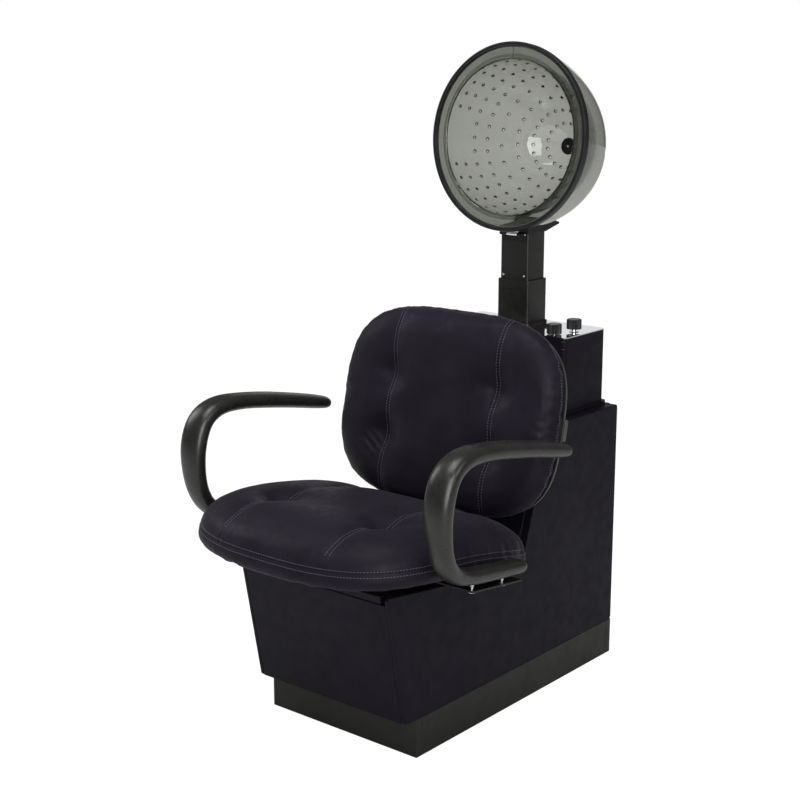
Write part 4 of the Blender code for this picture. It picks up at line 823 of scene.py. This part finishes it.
def air_hole_poses():
    """Where each air hole goes through the inner bonnet, facing outwards."""
    depth = INNER_DEPTH - RING_THICK
    poses = []
    for share, count, bearing, clear in AIR_RINGS:
        across, rise = dome_point(math.pi / 2 * (1 - share), INNER_RADIUS, depth)
        out = (across / INNER_RADIUS) ** (DOME_POWER - 1) / INNER_RADIUS
        up = (rise / depth) ** (DOME_POWER - 1) / depth
        place = (Matrix.Translation((across, 0, RING_THICK + rise))
                 @ Matrix.Rotation(math.atan2(out, up), 4, "Y"))
        for index in range(count):
            swing = math.radians(bearing) + 2 * math.pi * index / count
            if abs(math.sin(swing)) >= math.sin(math.radians(clear)):
                poses.append(Matrix.Rotation(swing, 4, "Z") @ place)
    return poses


def inner_bonnet():
    """Clear inner dome, drilled through ring after ring of air holes."""
    profile = [(INNER_RADIUS + INNER_FLANGE, RING_THICK)]
    profile += dome_profile(INNER_RADIUS, INNER_DEPTH - RING_THICK, RING_THICK)
    bm = spun(walled_profile(profile, -INNER_WALL), 112, INNER_DIP)
    dome = shown(bm, "smoked_inner_bonnet", SMOKED_INNER, "hood", HOOD_FRAME,
                 ("inner_bonnet",), 50)
    bm = bmesh.new()
    for pose in air_hole_poses():
        bmesh.ops.create_cone(bm, cap_ends=True, segments=10, radius1=AIR_HOLE,
                              radius2=AIR_HOLE, depth=0.014, matrix=pose)
    leaned(bm, INNER_DIP)
    bmesh.ops.transform(bm, matrix=HOOD_FRAME, verts=bm.verts)
    drill = placed("air_hole_drill", mesh_of(bm, "air_hole_drill"))
    holes = dome.modifiers.new("air_holes", "BOOLEAN")
    holes.operation = "DIFFERENCE"
    holes.solver = "EXACT"
    holes.object = drill
    settle(dome)
    bpy.data.objects.remove(drill, do_unlink=True)
    smoothed(dome.data, 50)


def air_hole_shade_lip():
    """One dark moulded lip, thicker on the side of +X, to be laid round an air hole; its dark
    thick side is painted shade.
    """
    hole, edge = LIP_HOLE, LIP_EDGE
    profile = [(hole, 0.0006), (hole, -0.0004), (hole + 0.0003, -0.0011),
               (hole + 0.0008, -0.0013), (edge - 0.0004, -0.0010), (edge, -0.0003),
               (edge, 0.0004), (hole, 0.0006)]
    bm = spun(profile, 16)
    for vert in bm.verts:
        out = math.hypot(vert.co.x, vert.co.y)
        vert.co.x += LIP_SHIFT * (out - hole) / (edge - hole)
    return mesh_of(bm, "air_hole_shade_lip")


def air_hole_shade_rims():
    """Dark lips round the mouths of the air holes, their thick sides up and to the left:
    painted shade for the dark crescent that each hole shows on that side; the glints come from
    the lamps.
    """
    bm = bmesh.new()
    lip = air_hole_shade_lip()
    for pose in air_hole_poses():
        across = pose.to_3x3().inverted() @ LIP_SHADE_SIDE
        lay(bm, lip, pose @ Matrix.Rotation(math.atan2(across.y, across.x), 4, "Z"))
    leaned(bm, INNER_DIP)
    shown(bm, "air_hole_shade_rims", PAINTED_SHADE_LIP, "hood", HOOD_FRAME, sharp=70)


def hood():
    bm = spun(walled_profile(dome_profile(RIM_RADIUS, OUTER_DEPTH), OUTER_WALL), 128,
              OUTER_DIP)
    shown(bm, "smoked_outer_bonnet", SMOKED, "hood", HOOD_FRAME,
          ("outer_bonnet",), 50)
    inner_bonnet()
    air_hole_shade_rims()
    edge, hole = BAND_EDGE, INNER_RADIUS
    band = [(edge, BAND_THICK), (edge, 0.0004), (edge - 0.0004, 0), (hole + 0.0008, 0),
            (hole, 0.0008), (hole, BAND_THICK), (edge, BAND_THICK)]
    shown(spun(band, 128, OUTER_DIP), "smoked_band", SMOKED_BAND, "hood", HOOD_FRAME,
          ("front_ring",), 30)
    band_seam = eased_block((-0.0005, -edge + 0.0005, -0.0002),
                            (0.0005, -hole - 0.001, 0.0002), 0.0001, 1)
    shown(band_seam, "band_seam", RUBBER, "hood", HOOD_FRAME)
    gasket()
    plug()


def gasket():
    """Rubber edging over both bonnets, with a shallow groove round its face."""
    outer, width, front, side = 0.1945, 0.0100, -0.006, 0.009
    inner = outer - width
    middle = (outer + inner) / 2
    slot_low, slot_high = RIM_RADIUS - 0.0036, RIM_RADIUS + 0.0003
    profile = [(outer - 0.0012, side), (outer, side - 0.0012), (outer, front + 0.0030),
               (outer - 0.0009, front + 0.0009), (outer - 0.0028, front),
               (middle + 0.0014, front), (middle + 0.0009, front + 0.0012),
               (middle - 0.0009, front + 0.0012), (middle - 0.0014, front),
               (inner + 0.0028, front), (inner + 0.0009, front + 0.0009),
               (inner, front + 0.0030), (inner, side / 2), (slot_low, side / 2),
               (slot_low, -0.001), (slot_high, -0.001), (slot_high, side)]
    bm = spun(profile + profile[:1], 144, OUTER_DIP)
    shown(bm, "rubber_edging", RUBBER, "hood", HOOD_FRAME, ("rim_gasket",),
          35)


def plug():
    """Domed rubber plug in the crown, with its screw."""
    crown, top = INNER_DEPTH, OUTER_DEPTH - OUTER_WALL - 0.0008
    face = crown - 0.0063
    profile = [(0.0, top), (0.006, top), (0.006, crown - 0.0015), (0.0183, crown - 0.0034),
               (0.0185, face + 0.0020), (0.0177, face + 0.0008), (0.0158, face),
               (0.0070, face), (0.0062, face + 0.0006), (0.0, face + 0.0006)]
    place = HOOD_FRAME @ Matrix.Translation((0, INNER_DIP * crown, 0))
    shown(spun(profile, 48), "crown_plug", RUBBER, "hood", place,
          ("hub_plug",), 35)
    screw = [(0.0, face + 0.0008), (0.0026, face + 0.0008), (0.0025, face),
             (0.0016, face - 0.0005), (0.0, face - 0.0006)]
    shown(spun(screw, 24), "crown_screw", CHROME, "hood", place, (), 35)


# ------------------ back shell
SHELL_HALF_X, SHELL_HALF_Y, SHELL_POWER = 0.262, 0.195, 3.3
SHELL_LIP = (
    # height of the lip's row, how far it stands out from the row before
    (-0.0085, 0.0038), (-0.006, 0.0024), (-0.001, 0.0010), (0.0, -0.0004))


def back_shell():
    """Moulded pan behind the back cushion, its lip turned forward round the edge."""
    bm = bmesh.new()
    bmesh.ops.create_grid(bm, x_segments=40, y_segments=30, size=1.0)
    for vert in bm.verts:
        across, along = vert.co.x, vert.co.y
        edge = max(abs(across), abs(along))
        pull = squared(across, along, SHELL_POWER)
        draw = 1 - (1 - edge / max(pull, edge, 1e-6)) * edge ** 2.5
        across, along = across * draw, along * draw
        share = min(1.0, squared(across, along, SHELL_POWER))
        vert.co = (across * SHELL_HALF_X, along * SHELL_HALF_Y,
                   -0.009 - 0.009 * (1 - share ** 3))
    rim = [e for e in bm.edges if e.is_boundary]
    for level, out_step in SHELL_LIP:
        fresh, rim = grown_from(bm, rim)
        for vert in fresh:
            flat = Vector((vert.co.x, vert.co.y)).length
            wider = (flat + out_step) / flat
            vert.co = (vert.co.x * wider, vert.co.y * wider, level)
    bmesh.ops.recalc_face_normals(bm, faces=bm.faces)
    low = min(bm.faces, key=lambda face: face.calc_center_median().z)
    if low.normal.z > 0:
        bmesh.ops.reverse_faces(bm, faces=bm.faces)
    bmesh.ops.solidify(bm, geom=bm.faces[:], thickness=0.004)
    place = BACK_FRAME @ Matrix.Translation((0, 0, BACK_BASE - 0.0003))
    shown(bm, "moulded_back_shell", SHELL, "base", place, ("back_shell",),
          45)
    for label, inner, outer in (("left", -0.2730, -0.2560), ("right", 0.2560, 0.2730)):
        lug = eased_block((inner, -0.020, -0.0120), (outer, 0.024, -0.0020), 0.004, 5,
                          0.0015)
        shown(lug, "shell_lug_" + label, SHELL, "base", place)


# ------------------ control box and post
CLIP_DROPS = (0.006, 0.022)         # corner clips below the box's top
RIVET_SETBACKS = (0.016, 0.028)     # rivets ahead of the box's rear
RIVET_DROP, RIVET_RADIUS = 0.030, 0.0017
KNOB_TALL = 0.0205
FLUTES, FLUTE_POINTS, FLUTE_DEPTH = 24, 5, 0.075
KNOB_SKIRT = (0.0030, 0.0012)       # rows of the fluted wall, below the knob's top
KNOB_CROWN = (
    # round rows over the flutes: below the knob's top, share of its radius
    (0.0003, 0.90), (0.0, 0.86), (0.0, 0.83), (0.0010, 0.81))
STEM_RADIUS = 0.0045


def control_box():
    bm = square_tube(BOX_LOW, BOX_HIGH, 0.010, 0.002, 10)
    shown(bm, "control_box_case", LAMINATE, "base", None, ("control_box",), 30)
    for drop in CLIP_DROPS:
        z = BOX_HIGH.z - drop
        clip = eased_block((BOX_HIGH.x - 0.0090, BOX_LOW.y - 0.0003, z - 0.0006),
                           (BOX_HIGH.x - 0.0030, BOX_LOW.y + 0.0060, z + 0.0006), 0.0003, 2)
        shown(clip, f"corner_clip_{int(z * 1000)}", SHELL, "base", None)
    for y in RIVET_SETBACKS:
        rivet = bmesh.new()
        pose = Matrix.Translation((BOX_HIGH.x + 0.0001, BOX_HIGH.y - y,
                                   BOX_HIGH.z - RIVET_DROP))
        bmesh.ops.create_cone(rivet, cap_ends=True, segments=16, radius1=RIVET_RADIUS,
                              radius2=RIVET_RADIUS, depth=0.0006,
                              matrix=pose @ Matrix.Rotation(math.pi / 2, 4, "Y"))
        shown(rivet, f"box_rivet_{int(y * 1000)}", RUBBER, "base", None)


def knob_cap(wide):
    """Fluted wall closed by a round, slightly dished top."""
    bm = bmesh.new()
    made = bmesh.ops.create_circle(bm, cap_ends=False, segments=FLUTES * FLUTE_POINTS,
                                   radius=wide)
    for index, vert in enumerate(made["verts"]):
        groove = 0.5 + 0.5 * math.cos(2 * math.pi * index / FLUTE_POINTS)
        vert.co *= 1 - FLUTE_DEPTH * groove ** 2
    edges = bm.edges[:]
    for drop in KNOB_SKIRT:
        fresh, edges = grown_from(bm, edges)
        for vert in fresh:
            vert.co.z = KNOB_TALL - drop
    for drop, share in KNOB_CROWN:
        fresh, edges = grown_from(bm, edges)
        for vert in fresh:
            even = Vector((vert.co.x, vert.co.y, 0)).normalized() * wide * share
            vert.co = (even.x, even.y, KNOB_TALL - drop)
    bmesh.ops.contextual_create(bm, geom=edges)
    bmesh.ops.contextual_create(bm, geom=[e for e in bm.edges if e.is_boundary])
    closed_outwards(bm)
    return bm


def knob(label, body):
    """Fluted cap with a paler dished disc in its top and a bright pointer line."""
    low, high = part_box(label)
    centre = (low + high) / 2
    wide, tall = (high.x - low.x) / 2, KNOB_TALL
    base = high.z - tall
    place = Matrix.Translation((centre.x, centre.y, base))
    shown(knob_cap(wide), label + "_cap", KNOB, body, place, (label,), 25)
    disc = [(0.0, tall - 0.0004), (wide * 0.77, tall - 0.0004), (wide * 0.80, tall - 0.0008),
            (wide * 0.80, tall - 0.0012), (0.0, tall - 0.0012), (0.0, tall - 0.0004)]
    shown(spun(disc, 40), label + "_disc", KNOB_DISC, body, place, (), 30)
    line = eased_block((-0.0006, 0.0045, tall - 0.0005),
                       (0.0006, wide * 0.76, tall - 0.0001), 0.0002, 2)
    shown(line, label + "_pointer", CHROME, body, place)
    stem_low, stem_high = low.z - base, 0.001
    stem = [(0.0, stem_high), (STEM_RADIUS, stem_high), (STEM_RADIUS, stem_low),
            (0.0, stem_low)]
    shown(spun(stem, 24), label + "_stem", CHROME, body, place, (), 30)
    if base > PLATE_TOP + 0.003:
        washer = [(0.0048, 0.0012), (0.0100, 0.0008), (0.0104, 0.0003), (0.0048, 0.0003),
                  (0.0048, 0.0012)]
        place = Matrix.Translation((centre.x, centre.y, PLATE_TOP))
        shown(spun(washer, 32), label + "_escutcheon", ZINC, "base", place, (), 30)


def post():
    shown(square_tube(SLEEVE_LOW, SLEEVE_HIGH, 0.005, 0.0015), "post_sleeve", ENAMEL,
          "base", None, ("outer_post",), 30)
    shown(square_tube(POST_LOW, POST_HIGH, 0.005, 0.002), "sliding_post", ENAMEL, "post",
          None, ("inner_post",), 30)
    for name, body, half_x, front, proud, low, high in (
            ("sleeve_crease", "base", 0.031, SLEEVE_LOW.y, 0.0004, -0.0206, -0.0194),
            ("post_crease", "post", 0.0225, POST_LOW.y, 0.0003, 0.0070, 0.0078)):
        line = eased_block((-half_x, front - proud, SLEEVE_HIGH.z + low),
                           (half_x, front + 0.0003, SLEEVE_HIGH.z + high), 0.0001, 1)
        shown(line, name, BLACK_STEEL, body, None)
    for label in ("left", "right"):
        stop_screw(label)


def stop_screw(label):
    """Pan-head screw with a cross cut in it."""
    low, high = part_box("stop_screw_" + label)
    centre = (low + high) / 2
    profile = [(0.0, 0.0045), (0.0014, 0.0045), (0.0014, 0.0), (0.0028, 0.0),
               (0.0028, -0.0009), (0.0023, -0.0020), (0.0014, -0.0026), (0.0, -0.0026)]
    place = (Matrix.Translation((centre.x, POST_LOW.y, centre.z))
             @ Matrix.Rotation(-math.pi / 2, 4, "X"))
    shown(spun(profile, 28), "pan_screw_" + label, ZINC, "post", place,
          ("stop_screw_" + label,), 30)
    for number, turn in enumerate((0.4, 0.4 + math.pi / 2)):
        slot = eased_block((-0.0015, -0.00022, -0.0027), (0.0015, 0.00022, -0.0024),
                           0.0001, 1)
        shown(slot, f"screw_cross_{label}_{number}", BLACK_STEEL, "post",
              place @ Matrix.Rotation(turn, 4, "Z"))


# ------------------ carried-over solids
def dress_solids():
    """Finishes of the solids that stay as they are."""
    finishes = {
        LAMINATE: ("side_panel_left", "side_panel_right", "front_panel", "rear_panel",
                   "tower_front_panel", "seat_deck", "tower_top", "box_flange"),
        PLINTH: ("plinth_front", "plinth_rear", "plinth_side_left", "plinth_side_right"),
        PLYWOOD: ("cabinet_floor", "seat_board"),
        SHELL: ("back_mount_plate", "inlet_grille"),
        BLACK_STEEL: ("seat_rail_left", "seat_rail_right", "arm_bracket_left",
                      "arm_bracket_right", "back_standoff_left", "back_standoff_right",
                      "hood_shoe", "post_bracket", "blower_bracket", "hinge_leaf_lower"),
        ZINC: ("arm_bolt_left_1", "arm_bolt_left_2", "arm_bolt_right_1", "arm_bolt_right_2",
               "blower_housing", "blower_motor"),
        ALLOY: ("impeller",),
        CHROME: ("control_plate", "hinge_pin", "hinge_leaf_upper"),
        RUBBER: ("post_collar", "post_bush", "cable_gland"),
        KNOB: ("timer_body", "heat_switch"),
        MICA: ("heater_element",),
    }
    for finish, names in finishes.items():
        for name in names:
            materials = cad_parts[name].data.materials
            materials.clear()
            materials.append(finish)


# ------------------ studio
WORLD_LIGHT, WORLD_IN_GLOSS = 0.46, 0.12    # world's strength on pieces, and in their gloss
FLOOR_GLOW, FLOOR_GLOW_SHARE = 1.15, 0.86   # floor's own light, seen straight only


def softbox(name, place, aim, size, power, mirrored_only=False):
    """A rectangular lamp; a mirrored-only one is seen in gloss and lights nothing else."""
    lamp = bpy.data.lights.new(name, "AREA")
    lamp.shape = "RECTANGLE"
    lamp.size, lamp.size_y = size
    lamp.energy = power
    holder = placed(name, lamp)
    holder.location = place
    holder.rotation_euler = (Vector(aim) - Vector(place)).to_track_quat("-Z", "Y").to_euler()
    holder.visible_camera = False
    holder.visible_transmission = False
    holder.visible_diffuse = not mirrored_only


def seen_straight(nodes, links):
    """Light paths, and 1 where the camera looks straight on or through clear plastic."""
    path = nodes.new("ShaderNodeLightPath")
    seen = nodes.new("ShaderNodeMath")
    seen.operation = "MAXIMUM"
    links.new(path.outputs["Is Camera Ray"], seen.inputs[0])
    links.new(path.outputs["Is Transmission Ray"], seen.inputs[1])
    return path, seen.outputs["Value"]


def daylight():
    """Even white world that shows full white to the camera and through clear plastic."""
    world = bpy.data.worlds.new("studio")
    bpy.context.scene.world = world
    world.use_nodes = True
    nodes, links = world.node_tree.nodes, world.node_tree.links
    background = nodes["Background"]
    background.inputs["Color"].default_value = (1, 1, 1, 1)
    path, seen = seen_straight(nodes, links)
    mirrored = nodes.new("ShaderNodeMapRange")
    mirrored.inputs["To Min"].default_value = WORLD_LIGHT
    mirrored.inputs["To Max"].default_value = WORLD_IN_GLOSS
    links.new(path.outputs["Is Glossy Ray"], mirrored.inputs["Value"])
    level = nodes.new("ShaderNodeMapRange")
    level.inputs["To Max"].default_value = 1.0
    links.new(seen, level.inputs["Value"])
    links.new(mirrored.outputs["Result"], level.inputs["To Min"])
    links.new(level.outputs["Result"], background.inputs["Strength"])


def floor():
    """Pale floor that keeps the shadow and adds its own light where it is seen."""
    bm = bmesh.new()
    bmesh.ops.create_grid(bm, x_segments=2, y_segments=2, size=14.0)
    bmesh.ops.translate(bm, vec=(0, 0, -0.0005), verts=bm.verts)
    sheet = placed("studio_floor", mesh_of(bm, "studio_floor"))
    material = bpy.data.materials.new("pale_floor")
    material.use_nodes = True
    nodes, links = material.node_tree.nodes, material.node_tree.links
    shader = nodes["Principled BSDF"]
    shader.inputs["Base Color"].default_value = (0.93, 0.93, 0.93, 1)
    shader.inputs["Roughness"].default_value = 0.9
    shader.inputs["Specular IOR Level"].default_value = 0.1
    glow = nodes.new("ShaderNodeEmission")
    glow.inputs["Strength"].default_value = FLOOR_GLOW
    _, seen = seen_straight(nodes, links)
    share = nodes.new("ShaderNodeMath")
    share.operation = "MULTIPLY"
    share.inputs[1].default_value = FLOOR_GLOW_SHARE
    links.new(seen, share.inputs[0])
    mix = nodes.new("ShaderNodeMixShader")
    links.new(share.outputs["Value"], mix.inputs["Fac"])
    links.new(shader.outputs["BSDF"], mix.inputs[1])
    links.new(glow.outputs["Emission"], mix.inputs[2])
    links.new(mix.outputs["Shader"], nodes["Material Output"].inputs["Surface"])
    sheet.data.materials.append(material)


def camera():
    lens = bpy.data.cameras.new("camera")
    lens.lens = 68.64
    lens.sensor_width = 36
    holder = placed("camera", lens)
    holder.location = (1.8787, CABINET_Y - 2.0783, 1.3367)
    holder.rotation_euler = (math.radians(76.7), 0, math.radians(39.77))
    bpy.context.scene.camera = holder


def studio():
    daylight()
    floor()
    softbox("key_left", (-2.7, -0.8, 2.2), (0, 0, 0.7), (1.2, 1.6), 26)
    softbox("fill_right", (2.6, -1.2, 1.8), (0, 0, 0.8), (1.4, 1.6), 12)
    softbox("top", (0.2, -0.6, 3.2), (0, 0, 0.6), (1.6, 1.6), 46)
    softbox("window", (2.32, -2.05, 1.70), (0, 0.3, 1.1), (1.6, 2.4), 80, True)
    softbox("side_window", (2.90, 0.35, 2.55), (0, 0.3, 1.1), (0.9, 1.3), 16, True)
    softbox("far_window", (-1.76, 2.80, 1.40), (0, 0.4, 0.8), (1.8, 1.2), 4.5, True)
    camera()
    bpy.context.scene.view_settings.view_transform = "Standard"


# ------------------ build
dress_solids()
cushion("seat_cover", "seat_cushion", SEAT_PAD, voxel=0.0056, cap=0.006, side_share=0.08,
        gathers=seat_gathers)
cushion("back_cover", "back_cushion", BACK_PAD, voxel=0.0052, cap=0.005, side_share=0.5,
        gathers=back_gathers)
arm("left", -1)
arm("right", 1)
hood()
back_shell()
control_box()
knob("timer_knob", "timer")
knob("heat_knob", "heat")
post()
studio()

bpy.context.view_layer.update()
